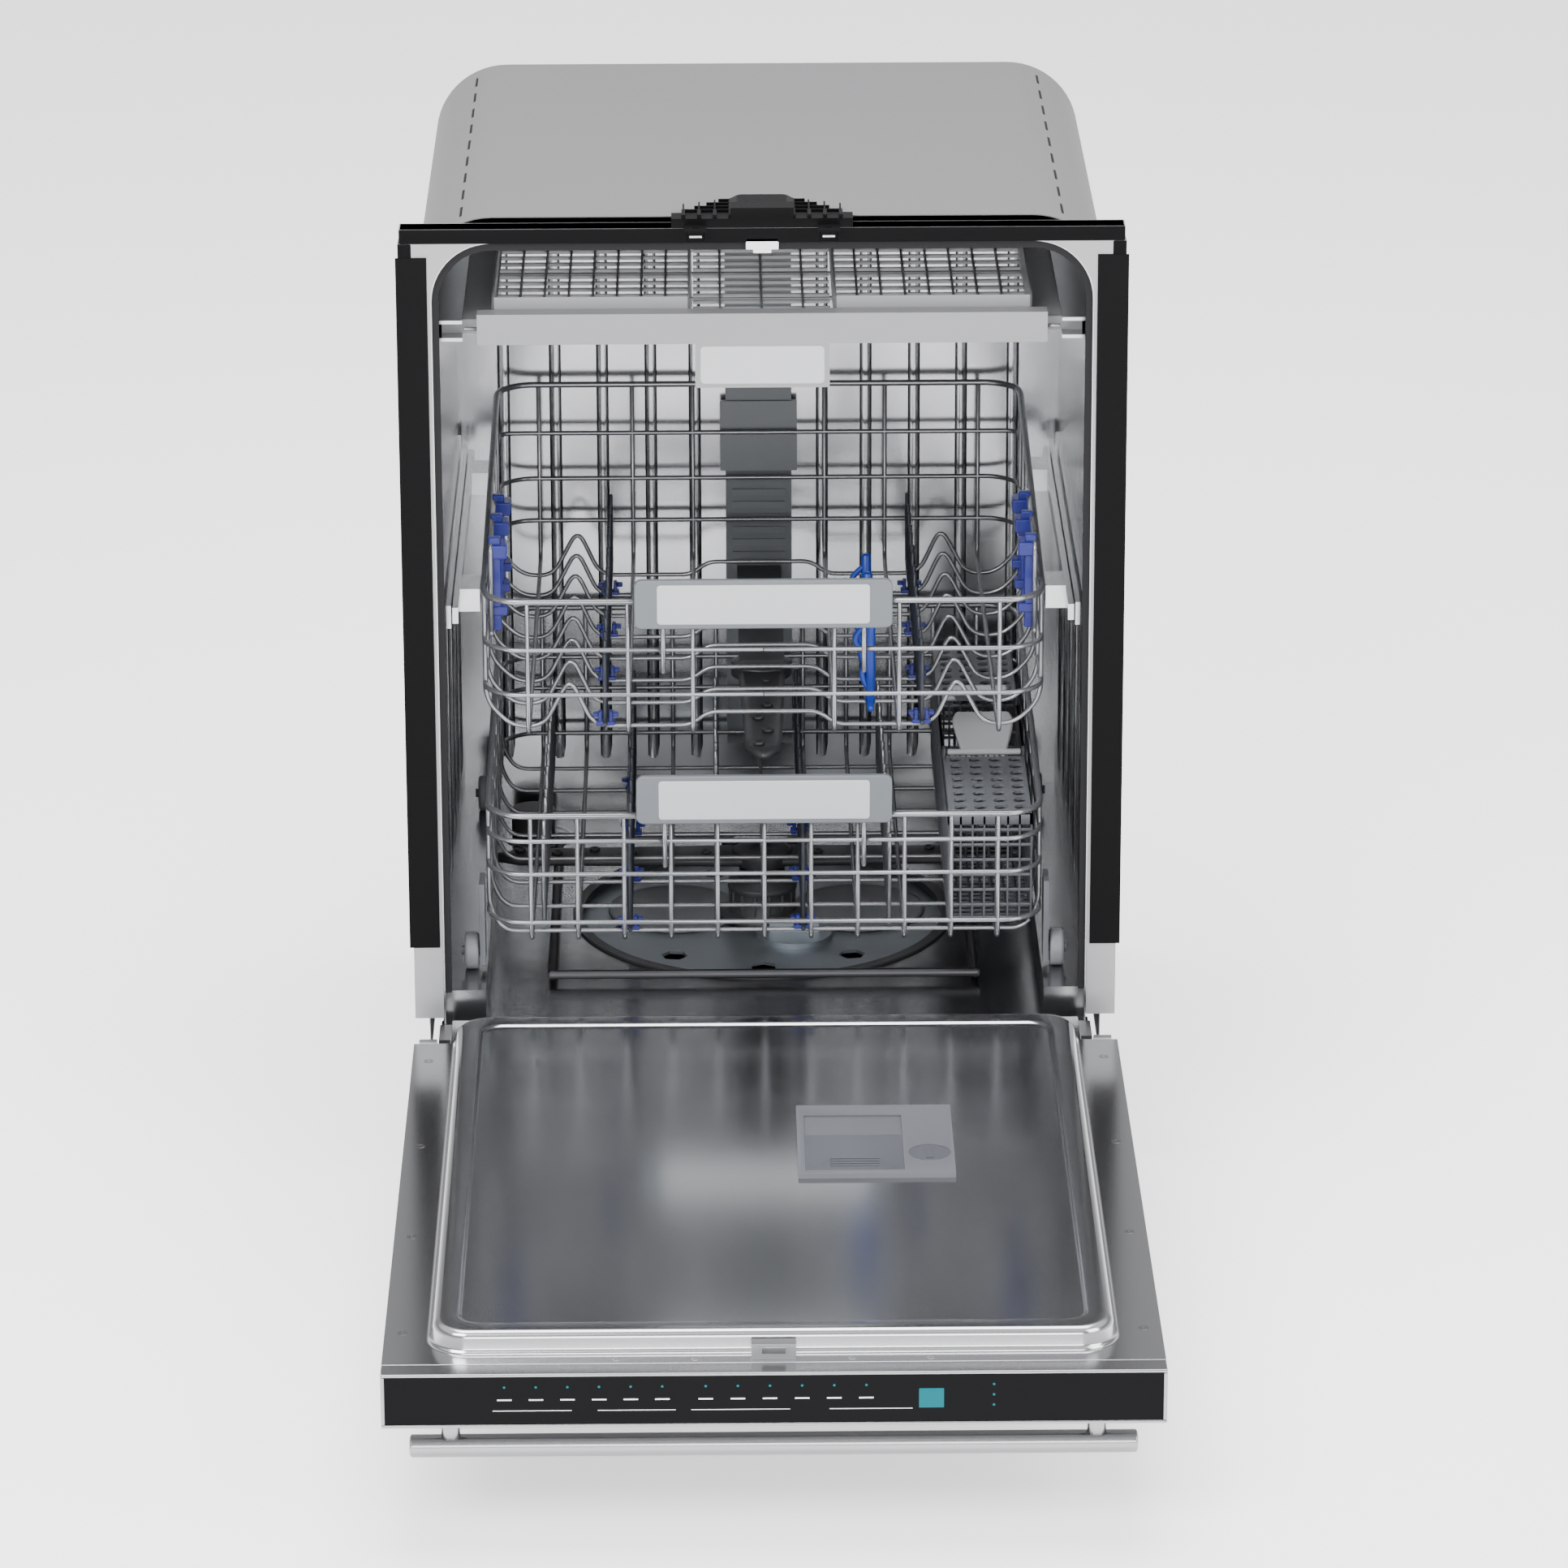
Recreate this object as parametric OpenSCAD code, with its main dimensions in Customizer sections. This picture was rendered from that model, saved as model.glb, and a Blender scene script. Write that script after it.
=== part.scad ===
// Built in dishwasher with its door let down and its racks pushed in.
// x runs to the right, y to the back, z up. All sizes are in millimetres.

/* [Overall] */
// Width across the front frame
frame_w = 603; // [500:1:730]
// Height from the floor to the top of the front frame
frame_h = 845; // [700:1:1015]
// Depth of the cabinet behind its front plane
body_d = 552; // [460:1:665]

/* [Cabinet] */
// Width of the frame face on each side of the tub mouth
collar_face = 27.5; // [22:0.5:34]
// Depth of the front frame
collar_d = 20; // [14:1:26]
// Height of the frame bar above the tub mouth
top_bar = 13; // [10:1:18]
// Height of the tub floor above the floor of the room
tub_floor = 130; // [120:1:150]
// Height of the side ledges that carry the rack wheels
ledge_h = 35; // [28:1:40]
// Width of each wheel ledge
ledge_w = 34; // [28:1:38]
// Sheet thickness of the tub
tub_wall = 1.2; // [0.8:0.1:1.6]
// Sheet thickness of the outer jacket
jacket_wall = 0.8; // [0.6:0.1:1.2]
// Radius of the tub's upper corners
corner_r = 50; // [40:1:60]
// Gap between the tub and its jacket, filled by wool
jacket_gap = 12.5; // [9:0.5:15]
// Thickness of the base pan
base_t = 6; // [4:0.5:9]
// Radius of a foot pad
foot_r = 20; // [15:1:26]
// Radius of a foot's threaded stem
foot_stem_r = 5; // [4:0.5:7]
// Height of the lower front access panel
kick_h = 86; // [60:1:92]
// Width of the light strip on each side of the frame
strip_w = 24; // [18:1:26]
// Height of the black bridge over the latch
bridge_h = 17; // [10:1:22]
// Width of the bridge over the latch
bridge_w = 150; // [100:1:180]
// Distance between the two fixing tabs of the cabinet top
tab_pitch = 110; // [80:1:130]
// Radius of the fixing holes in the tabs
tab_hole_r = 2.5; // [2:0.1:3]

/* [Sump and spray] */
// Radius of the sump ring in the tub floor
sump_r = 170; // [130:1:180]
// Radius of the removable coarse filter
filter_r = 34; // [25:1:40]
// Radius of the spigots that the spray arms turn on
spigot_r = 8; // [6:0.5:10]
// Clearance between a spray arm's tip and what it sweeps past
arm_gap = 2; // [1.5:0.5:6]
// Width of a spray arm
arm_w = 38; // [30:1:46]
// Thickness of a spray arm
arm_t = 12; // [8:0.5:14]
// Reach of the rotor under the tub ceiling
rotor_reach = 90; // [60:1:110]
// Tube radius of the heating loop
heater_r = 4; // [3:0.5:5]
// Width of the water duct on the back wall
duct_w = 60; // [44:1:70]
// Depth of the water duct
duct_d = 11; // [8:0.5:12]

/* [Door] */
// Thickness of the door without its pressed centre
door_t = 44.5; // [36:0.5:54]
// Difference between the frame and the door width
door_side_gap = 5; // [3:0.5:9]
// Sheet thickness of the door skins
skin = 1.2; // [0.8:0.1:1.6]
// Height of the pressed centre of the inner door
press_h = 17; // [12:0.5:17]
// Inset of the pressed centre from the door edge
press_inset = 33; // [30:1:44]
// Depth of the control panel block at the door's free edge
panel_d = 19; // [14:1:26]
// Length of the bar handle
handle_l = 560; // [400:1:590]
// Radius of the bar handle
handle_r = 9; // [6:0.5:12]
// Drop of the handle axis below the door face
handle_drop = 35.5; // [28:0.5:44]
// Radius of the hinge pins
hinge_pin_r = 4; // [3:0.5:5]
// Length of the detergent dispenser
disp_l = 146; // [120:1:170]
// Width of the detergent dispenser
disp_w = 127; // [100:1:150]
// Travel of the detergent lid
lid_travel = 42; // [30:1:46]
// Radius of the rinse aid cap
rinse_r = 17; // [13:0.5:20]

/* [Racks] */
// Clearance between the tub wall and a rack's wire wall
rack_gap = 34; // [30:1:40]
// Radius of the rack wires
wire_r = 2.2; // [1.6:0.1:2.8]
// Radius of the rim wires
rim_r = 3; // [2.4:0.1:3.6]
// Radius of the tine wires
tine_r = 1.9; // [1.4:0.1:2.4]
// Clearance between the lower spray arm and the lower rack floor
low_floor_gap = 13; // [11:0.5:20]
// Height of the lower rack's front rim
low_front_z = 320; // [290:1:330]
// Height of the lower rack's rear rim
low_rear_z = 345; // [300:1:350]
// Radius of the lower rack wheels
wheel_r = 16; // [14:0.5:17]
// Width of a wheel
wheel_w = 12; // [9:0.5:13]
// Radius of the wheel axles
axle_r = 4; // [3:0.5:5]
// Length of the lower rack's tines
low_tine_l = 82; // [60:1:90]
// Distance between neighbouring tines
tine_pitch = 30; // [24:1:36]
// Width of the cutlery basket
basket_w = 73; // [60:1:80]
// Height of the cutlery basket
basket_h = 96; // [80:1:98]
// Wall of the cutlery basket
basket_wall = 2; // [1.5:0.1:3]
// Length of a basket handle's legs
basket_leg = 45; // [35:1:50]
// Height of the middle spray arm's underside
mid_arm_z = 362; // [360:1:366]
// Clearance between the middle spray arm and the upper rack floor
up_floor_gap = 18; // [16:0.5:26]
// Height of the upper rack's front rim
up_front_z = 512; // [480:1:530]
// Height of the upper rack's rear rim
up_rear_z = 558; // [520:1:580]
// Length of the upper rack's tines
up_tine_l = 64; // [50:1:70]
// Depth of a cup shelf
shelf_d = 80; // [60:1:86]
// Height of the cup shelves
shelf_z = 474; // [468:1:480]
// Height of the stem glass holder
stem_h = 86; // [60:1:90]
// Underside of the telescopic rails of the upper rack
rail_z = 484; // [480:1:490]
// Height of a telescopic rail
rail_h = 28; // [20:1:32]
// Width of a rack handle plate
grip_w = 218; // [160:1:230]
// Height of a rack handle plate
grip_h = 43; // [30:1:46]
// Underside of the third rack
third_z = 740; // [730:1:746]
// Height of the third rack's frame
third_h = 26; // [20:1:30]
// Depth of the cutlery trays
tray_h = 30; // [20:1:36]
// Width of the tray handle under the third rack
third_grip_w = 112; // [90:1:140]

/* [Fits] */
// Gap between pieces that touch but do not move
seat = 0.1; // [0.05:0.05:0.3]
// Radial running clearance of pins and axles
run = 0.05; // [0.02:0.01:0.1]
// Gap between a wheel and its ledge
roll_gap = 0.2; // [0.1:0.05:0.4]

/* [Hidden] */
e = 0.01;
wire_n = 6;
round_n = 48;
half_w = frame_w / 2;
tub_half = half_w - collar_face;
tub_top = frame_h - top_bar;
tub_back = body_d - 7;
jacket_half = tub_half + tub_wall + jacket_gap + jacket_wall;
// Rack levels keep their order when the cabinet height changes.
level_k = (tub_top - tub_floor) / 702;
function lv(z) = tub_floor + (z - 130) * level_k;
track_z = tub_floor + ledge_h;
track_x = tub_half - ledge_w;
hinge_y = -22;
hinge_z = track_z - press_h - 22;
door_half = half_w - door_side_gap / 2;
door_len = frame_h - hinge_z;
door_tip = hinge_y - door_len;
door_top = hinge_z + 22;
door_low = door_top - door_t;
door_root = hinge_y + 15;
front_y = (-door_tip - body_d) / 2;
notch_x = tub_half - 6;
notch_y = hinge_y - 38;
press_half = door_half - press_inset;
press_top = door_top + press_h;
press_y0 = door_tip + 36;
press_y1 = hinge_y - 12;
mid_y = body_d * 0.5 + 24;
arm_y = body_d * 0.5 + 4;
base_z = tub_floor - 32;
reach = min(track_x, tub_back - mid_y) - arm_gap;
mid_reach = min(track_x, arm_y - 36) - arm_gap;
rack_half = tub_half - rack_gap;
wall_x = rack_half - rim_r;
rack_y0 = 30;
rack_y1 = body_d - 25;
grid_half = wall_x - wire_r - seat;
basket_x1 = wall_x - rim_r - 3;
basket_x0 = basket_x1 - basket_w;
basket_y0 = 60;
basket_y1 = rack_y1 - 27;
hub_z = 48;
low_z = tub_floor + hub_z + arm_t + 2 + low_floor_gap;
up_z = lv(mid_arm_z) + arm_t + up_floor_gap;
basket_z = low_z + 7;
basket_seg = (basket_y1 - basket_y0) / 3;
row_margin = 50;
row_pitch = (basket_x0 + rack_half - 2 * row_margin) / 4;
function row_x(i) = row_margin - rack_half + i * row_pitch;
wheel_z = track_z + wheel_r + roll_gap;
wheel_x = track_x + 13;
wheel_y0 = 75;
wheel_y1 = rack_y1 - 47;
up_tine_x = rack_half - 105;
stem_x = rack_half - 148;
panel_y = door_tip + panel_d;
disp_x = 23;
disp_y = door_tip + 346;
duct_y = tub_back - duct_d;
third_half = rack_half - 2.5;
tray_in = 60;

module box(x0, x1, y0, y1, z0, z1)
    translate([x0, y0, z0])
        cube([x1 - x0, y1 - y0, z1 - z0]);
module at()
    translate([0, front_y, 0])
        children();
module both() {
    children();
    mirror([1, 0, 0]) children();
}
// A block with rounded upper corners that runs from front to back.
module arch(half, z0, z1, r, y0, y1)
    translate([0, y1, 0])
        rotate([90, 0, 0])
            linear_extrude(y1 - y0) {
                translate([-half, z0]) square([2 * half, z1 - z0 - r]);
                translate([r - half, z0]) square([2 * (half - r), z1 - z0]);
                translate([half - r, z1 - r]) circle(r = r, $fn = round_n);
                translate([r - half, z1 - r]) circle(r = r, $fn = round_n);
            }
module rod_x(x0, x1, y, z, r, n = wire_n)
    translate([x0, y, z])
        rotate([0, 90, 0])
            cylinder(h = x1 - x0, r = r, $fn = n);
module rod_y(x, y0, y1, z, r, n = wire_n)
    translate([x, y0, z])
        rotate([-90, 0, 0])
            cylinder(h = y1 - y0, r = r, $fn = n);
module rod_z(x, y, z0, z1, r, n = wire_n)
    translate([x, y, z0])
        cylinder(h = z1 - z0, r = r, $fn = n);
// A sloping rod in a plane of constant x.
module rod_slope(x, y0, z0, y1, z1, r)
    translate([x, y0, z0])
        rotate([-atan2(y1 - y0, z1 - z0), 0, 0])
            cylinder(h = norm([y1 - y0, z1 - z0]), r = r, $fn = wire_n);
module slab(w, d, h, r)
    linear_extrude(h)
        round_rect(w, d, r);
module round_rect(w, d, r) {
    square([w - 2 * r, d], center = true);
    square([w, d - 2 * r], center = true);
    for (sx = [-1, 1])
        for (sy = [-1, 1])
            translate([sx * (w / 2 - r), sy * (d / 2 - r)])
                circle(r = r, $fn = round_n);
}

// ---- Cabinet ----
module base_pan()
    at() color("DimGray")
        difference() {
            union() {
                box(-jacket_half + 8, jacket_half - 8, 38, body_d - 3, base_z, base_z + base_t);
                both() {
                    box(jacket_half - 26, jacket_half - 8, 38, body_d - 3, foot_clear, base_z + e);
                    box(tub_half - 52, tub_half - 36, 44, 60, base_z + e, tub_floor - tub_wall - seat);
                    box(tub_half - 52, tub_half - 36, body_d - 50, body_d - 34, base_z + e,
                        tub_floor - tub_wall - seat);
                }
            }
            translate([0, mid_y, base_z - 1])
                cylinder(h = base_t + 2, r = sump_r + 2);
            both()
                for (y = [foot_y0, foot_y1])
                    rod_z(foot_x, y, foot_clear - 1, base_z + base_t + 1, foot_stem_r + run, round_n);
        }
foot_clear = 34;
foot_x = jacket_half - 17;
foot_y0 = 50;
foot_y1 = body_d - 35;
module feet()
    at() color("DarkSlateGray")
        both()
            for (y = [foot_y0, foot_y1]) {
                rod_z(foot_x, y, 0, 9, foot_r, round_n);
                rod_z(foot_x, y, 9 - e, 14, foot_stem_r + 6, 6);
                rod_z(foot_x, y, 14 - e, base_z + base_t - 1, foot_stem_r, round_n);
            }
module tub_shell()
    at() color("LightSteelBlue")
        difference() {
            arch(tub_half + tub_wall, tub_floor - tub_wall, tub_top + tub_wall,
                 corner_r + tub_wall, 4, tub_back + tub_wall);
            arch(tub_half, track_z, tub_top, corner_r, 3, tub_back);
            box(-track_x, track_x, 3, tub_back, tub_floor, track_z + 1);
            box(-tub_half, tub_half, 3, step_y, tub_floor, track_z + 1);
            both()
                box(track_x + tub_wall, tub_half + tub_wall + 1, step_y + tub_wall,
                    tub_back + tub_wall + 1, tub_floor - tub_wall - 1, track_z - tub_wall);
            translate([0, mid_y, tub_floor - tub_wall - 1])
                cylinder(h = tub_wall + 2, r = sump_r - 5, $fn = 96);
        }
step_y = press_h + 3;
jacket_r = corner_r + tub_wall + jacket_gap + jacket_wall;
module tub_jacket()
    at() color("Gray")
        difference() {
            arch(jacket_half, base_z + base_t + 1, tub_top + 18, jacket_r, 22, body_d);
            arch(jacket_half - jacket_wall, base_z, tub_top + 18 - jacket_wall,
                 jacket_r - jacket_wall, 21, body_d - jacket_wall);
        }
module front_collar()
    at() color("Silver")
        difference() {
            box(-half_w + 1.5, half_w - 1.5, 1.5, collar_d + 1.5, track_z - 18, frame_h);
            arch(tub_half + tub_wall + seat, track_z - 19, tub_top + tub_wall + seat,
                 corner_r + tub_wall + seat, 0, collar_d + 3);
        }
module side_strips()
    at() color("WhiteSmoke")
        both()
            box(half_w - strip_w, half_w + 1.8, 0.3, 1.4, track_z + 47, frame_h - strip_w);
module door_gasket()
    at() color("DimGray")
        difference() {
            arch(tub_half - seat, track_z + 4, tub_top - seat, corner_r - seat, 5, 15);
            arch(tub_half - 5.5, track_z + 3, tub_top - 6, corner_r - 5.5, 4, 16);
        }
module latch_bridge()
    at() color("Black")
        difference() {
            union() {
                box(-bridge_w / 2, bridge_w / 2, 1.5, 21, frame_h + seat, frame_h + 8);
                for (i = [-5:5])
                    box(i * 13 - 1.5, i * 13 + 1.5, 3, 20, frame_h + 8 - e, frame_h + 11);
                box(-26, 26, 1.5, 21, frame_h + 8 - e, frame_h + bridge_h);
                both()
                    box(tab_pitch / 2 - 9, tab_pitch / 2 + 9, -16, 1.6, frame_h + 1, frame_h + 3);
            }
            both()
                rod_z(tab_pitch / 2, -9, frame_h, frame_h + 4, tab_hole_r, round_n);
        }
module hinge_brackets()
    at() color("SlateGray")
        both() {
            box(notch_x + 1, notch_x + 11, hinge_y - 10, 3.5, hinge_z - 14, hinge_z + 14);
            box(notch_x + 1, notch_x + 11, 3.4, 44, base_z + base_t + seat, tub_floor - tub_wall - 1);
            rod_x(notch_x + 11 - e, notch_x + 30, hinge_y, hinge_z, hinge_pin_r, round_n);
        }
module toe_kick()
    at() color("Black") {
        box(-jacket_half + 4, jacket_half - 4, 30, 31.5, base_z - kick_h + 1, base_z - 1);
        box(-jacket_half + 4, jacket_half - 4, 31.5 - e, 36, base_z - 3, base_z - 1);
    }
module sump_housing()
    at() color("DimGray") {
        difference() {
            union() {
                translate([0, mid_y, tub_floor + seat])
                    cylinder(h = 2, r = sump_r, $fn = 96);
                translate([0, mid_y, tub_floor - 24])
                    cylinder(h = 24.2, r = sump_r - 5.2, $fn = 96);
                translate([0, mid_y, tub_floor - 62])
                    cylinder(h = 40, r = 62, $fn = 64);
            }
            translate([0, mid_y, tub_floor - 21])
                cylinder(h = 26, r = sump_r - 9, $fn = 96);
            translate([filter_x, filter_y, tub_floor - 58])
                cylinder(h = 50, r = filter_r - 6);
        }
        translate([0, mid_y, tub_floor - 21.1])
            cylinder(h = hub_z + 17.1, r = 17, $fn = 48);
        translate([0, mid_y, tub_floor + hub_z - 5])
            cylinder(h = arm_t + 4, r = spigot_r, $fn = 48);
    }
filter_x = 28;
filter_y = mid_y - 48;
module filter_plate()
    at() color("LightSlateGray")
        difference() {
            translate([0, mid_y, tub_floor - 8])
                cylinder(h = 3, r = sump_r - 9.1, $fn = 96);
            translate([0, mid_y, tub_floor - 9])
                cylinder(h = 5, r = 17.1, $fn = 48);
            translate([filter_x, filter_y, tub_floor - 9])
                cylinder(h = 5, r = filter_r - 4 + run, $fn = 48);
            for (a = [20:40:340])
                rotate_at(0, mid_y, a + 10)
                    translate([sump_r * 0.72, 0, tub_floor - 9])
                        cylinder(h = 5, r = 12, $fn = 6);
        }
module rotate_at(x, y, a)
    translate([x, y, 0])
        rotate([0, 0, a])
            children();
module coarse_filter()
    at() color("LightSteelBlue")
        difference() {
            union() {
                translate([filter_x, filter_y, tub_floor - 4.9])
                    cylinder(h = 5, r = filter_r, $fn = 48);
                translate([filter_x, filter_y, tub_floor - 20])
                    cylinder(h = 16, r = filter_r - 4, $fn = 48);
                box(filter_x - 22, filter_x + 22, filter_y - 3, filter_y + 3, tub_floor, tub_floor + 12);
            }
            translate([filter_x, filter_y, tub_floor - 21])
                cylinder(h = 17, r = filter_r - 6, $fn = 48);
        }
module heating_element() {
    hx = sump_r + 15;
    y0 = mid_y - 178;
    y1 = mid_y + 178;
    z = tub_floor + 9;
    at() color("SlateGray") {
        both() {
            rod_y(hx, y0, y1, z, heater_r, 12);
            rod_x(24, hx + 2, y1 - 2, z, heater_r, 12);
            rod_z(28, y1 - 2, tub_floor + seat, z, heater_r - 0.5, 12);
            rod_z(28, y1 - 2, tub_floor + seat, tub_floor + 4, heater_r + 4, 6);
        }
        rod_x(-hx - 2, hx + 2, y0 + 2, z, heater_r, 12);
    }
}
module pumps()
    at() color("DarkGray") {
        rod_y(-118, 150, 262, 56, 36, round_n);
        rod_y(-118, 262 - e, 300, 56, 20, round_n);
        box(-146, -90, 170, 240, 19, 30);
        rod_y(128, 230, 300, 60, 24, round_n);
        rod_x(64, 110, 282, 60, 11, round_n);
    }
module inlet_valve()
    at() color("White") {
        box(-216, -172, 66, 106, 42, 84);
        rod_x(-172 - e, -154, 86, 70, 9, round_n);
        rod_z(-194, 86, 26, 42 + e, inlet_r, round_n);
    }
inlet_r = 13;
module terminal_box()
    at() color("Gray")
        difference() {
            box(160, 232, 60, 124, 40, 86);
            box(162, 230, 62, 122, 42, 87);
            rod_z(196, 92, 39, 43, gland_r, round_n);
        }
gland_r = 11;
module supply_duct() {
    dz0 = lv(378);
    dz1 = lv(540);
    at() color("LightGray") {
        box(-duct_w / 2, duct_w / 2, duct_y, tub_back - seat,
            tub_floor + hub_z + arm_t + 20, tub_top - 20);
        for (i = [0:6])
            box(-duct_w / 2 + 6, duct_w / 2 - 6, duct_y - 2, duct_y + e,
                dz0 + i * 12, dz0 + i * 12 + 6);
        box(-duct_w / 2 - 5, duct_w / 2 + 5, duct_y - 3, duct_y + 2, dz0 + 96, dz1);
        box(-18, 18, mid_y - 20, tub_back - seat, tub_top - 20 - e, tub_top - seat);
        rod_z(0, mid_y, tub_top - 36, tub_top - 20, spigot_r, round_n);
    }
}
module top_rotor()
    at() color("DimGray")
        difference() {
            union() {
                rod_z(0, mid_y, tub_top - 36, tub_top - 21, 22, round_n);
                box(-rotor_reach, rotor_reach, mid_y - 14, mid_y + 14, tub_top - 33, tub_top - 24);
                both()
                    rod_z(rotor_reach - 14, mid_y, tub_top - 36, tub_top - 32, 6, round_n);
            }
            rod_z(0, mid_y, tub_top - 37, tub_top - 20, spigot_r + run, round_n);
        }
module lower_arm()
    at() color("DimGray")
        difference() {
            union() {
                rod_z(0, mid_y, tub_floor + hub_z, tub_floor + hub_z + arm_t + 2, 30, round_n);
                box(-reach + 1, reach - 1, mid_y - arm_w / 2 + 8, mid_y + arm_w / 2 - 8,
                    tub_floor + hub_z, tub_floor + hub_z + arm_t);
                for (s = [-1, 1])
                    box(s > 0 ? 20 : 60 - reach, s > 0 ? reach - 60 : -20, mid_y - arm_w / 2,
                        mid_y + arm_w / 2, tub_floor + hub_z + 1, tub_floor + hub_z + arm_t - 1);
                both()
                    for (i = [1:5])
                        rod_z(i * 38 + 24, mid_y, tub_floor + hub_z + 5,
                              tub_floor + hub_z + arm_t + 2, 5, round_n);
            }
            rod_z(0, mid_y, tub_floor + hub_z - 6, tub_floor + hub_z + arm_t + 3,
                  spigot_r + run, round_n);
        }
module middle_arm()
    at() color("DimGray")
        difference() {
            union() {
                rod_z(0, arm_y, lv(mid_arm_z), lv(mid_arm_z) + arm_t + 2, 30, round_n);
                box(-arm_w / 2 + 8, arm_w / 2 - 8, arm_y - mid_reach + 1, arm_y + mid_reach - 1,
                    lv(mid_arm_z), lv(mid_arm_z) + arm_t);
                for (s = [-1, 1])
                    translate([0, arm_y + s * (mid_reach / 2 - 12), lv(mid_arm_z) + arm_t / 2])
                        cube([arm_w, mid_reach - 72, arm_t - 2], center = true);
                for (i = [-5:5])
                    if (i != 0)
                        rod_z(0, arm_y + i * 38 + sign(i) * 24, lv(mid_arm_z) + 5,
                              lv(mid_arm_z) + arm_t + 2, 5, round_n);
            }
            rod_z(0, arm_y, lv(mid_arm_z) - 1, lv(mid_arm_z) + arm_t + 3, spigot_r + run, round_n);
        }
module feed_tube() {
    z = lv(mid_arm_z) + arm_t + 3.5;
    at() color("DimGray") {
        box(-20, 20, arm_y - 24, duct_y - 4, z, z + 6);
        rod_z(0, arm_y, lv(mid_arm_z) - 1, z + 1, spigot_r, round_n);
    }
}
module float_cap()
    at() color("SlateGray")
        difference() {
            rod_z(float_x, float_y, tub_floor + 2, tub_floor + 24, 20, round_n);
            rod_z(float_x, float_y, tub_floor + 1, tub_floor + 21, 17, round_n);
        }
float_x = -track_x + 30;
float_y = tub_back - 32;
module fixed_rails()
    at() color("Silver")
        both() {
            box(tub_half - 3.5, tub_half - seat, 30, rack_y1 - 5, lv(rail_z), lv(rail_z) + rail_h);
            box(tub_half - 24, tub_half - seat, 30, rack_y1 - 5, lv(third_z) + 1, lv(third_z) + 4);
            box(tub_half - 24, tub_half - seat, 30, rack_y1 - 5, lv(third_z) + 16, lv(third_z) + 19);
            box(tub_half - 4, tub_half - seat, 30, rack_y1 - 5, lv(third_z) + 4 - e,
                lv(third_z) + 16 + e);
        }
module rail_middles()
    at() color("Silver")
        both()
            box(tub_half - 10, tub_half - 6, 34, rack_y1 - 17, lv(rail_z) + 4, lv(rail_z) + rail_h - 4);

// ---- Door, drawn let down ----
module outer_panel()
    at() color("Gainsboro")
        difference() {
            box(-door_half, door_half, panel_y + seat, door_root, door_low, door_top - skin - seat);
            box(-door_half + skin, door_half - skin, panel_y - 1, door_root - skin,
                door_low + skin, door_top);
            both()
                box(notch_x, door_half + 1, notch_y, door_root + 1, door_low - 1, door_top + 1);
        }
module press_slab(inset, h)
    translate([0, (press_y0 + press_y1) / 2, door_top - skin])
        slab(2 * (press_half - inset), press_y1 - press_y0 - 2 * inset, h, press_r - inset);
press_r = 30;
press_dip = 3;
module inner_liner()
    at() color("LightSteelBlue")
        difference() {
            union() {
                box(-door_half, door_half, panel_y + seat, door_root, door_top - skin, door_top);
                press_slab(0, press_h + skin);
            }
            difference() {
                translate([0, 0, -e]) press_slab(skin, press_h + e);
                box(-track_x - skin, track_x + skin, press_y0 + 24, press_y1 - 24,
                    press_top - press_dip - skin, press_top + 1);
            }
            box(-track_x, track_x, press_y0 + 26, press_y1 - 26, press_top - press_dip, press_top + 1);
            box(disp_x - seat, disp_x + disp_w + seat, disp_y - seat, disp_y + disp_l + seat,
                door_top - skin - 1, press_top + 1);
            both() {
                box(notch_x, door_half + 1, notch_y, door_root + 1, door_top - 9, press_top + 1);
                for (i = [0:3])
                    rod_z(door_half - 14, panel_y + 60 + i * screw_step, door_top - 9, door_top + 1,
                          screw_r + seat, round_n);
            }
        }
screw_r = 4;
screw_step = (notch_y - panel_y - 100) / 3;
module liner_screws()
    at() color("Silver")
        both()
            for (i = [0:3])
                difference() {
                    rod_z(door_half - 14, panel_y + 60 + i * screw_step, door_top - 8,
                          door_top + 0.15, screw_r, round_n);
                    box(door_half - 14.5, door_half - 13.5, panel_y + 57 + i * screw_step,
                        panel_y + 63 + i * screw_step, door_top - 1, door_top + 1);
                }
module control_panel()
    at() color("Black")
        difference() {
            box(-door_half, door_half, door_tip, panel_y, door_low, door_top);
            box(-door_half + 6, door_half - 6, door_tip - 1, door_tip + 0.6, door_low + 5, door_top - 5);
            box(-door_half + 2, door_half - 2, door_tip + 3, panel_y + 1, door_low + 2, door_top - 2);
        }
module door_handle() {
    y = door_tip + 46;
    z = door_low - handle_drop;
    at() color("Silver") {
        rod_x(-handle_l / 2, handle_l / 2, y, z, handle_r, round_n);
        both()
            box(handle_l / 2 - 40, handle_l / 2 - 24, y - 7, y + 7, z, door_low - seat);
    }
}
module door_latch()
    at() color("Silver")
        difference() {
            box(-17, 17, door_tip + 24, door_tip + 34, door_top + seat, door_top + 13);
            box(-9, 9, door_tip + 23, door_tip + 35, door_top + 5, door_top + 10);
        }
module hinge_arms()
    at() color("SlateGray")
        both()
            difference() {
                union() {
                    rod_x(notch_x + 13, notch_x + 28, hinge_y, hinge_z, 10, round_n);
                    box(notch_x + 13, notch_x + 28, hinge_y - 84, hinge_y, hinge_z - 7, hinge_z + 7);
                }
                rod_x(notch_x + 12, notch_x + 31, hinge_y, hinge_z, hinge_pin_r + run, round_n);
            }
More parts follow.
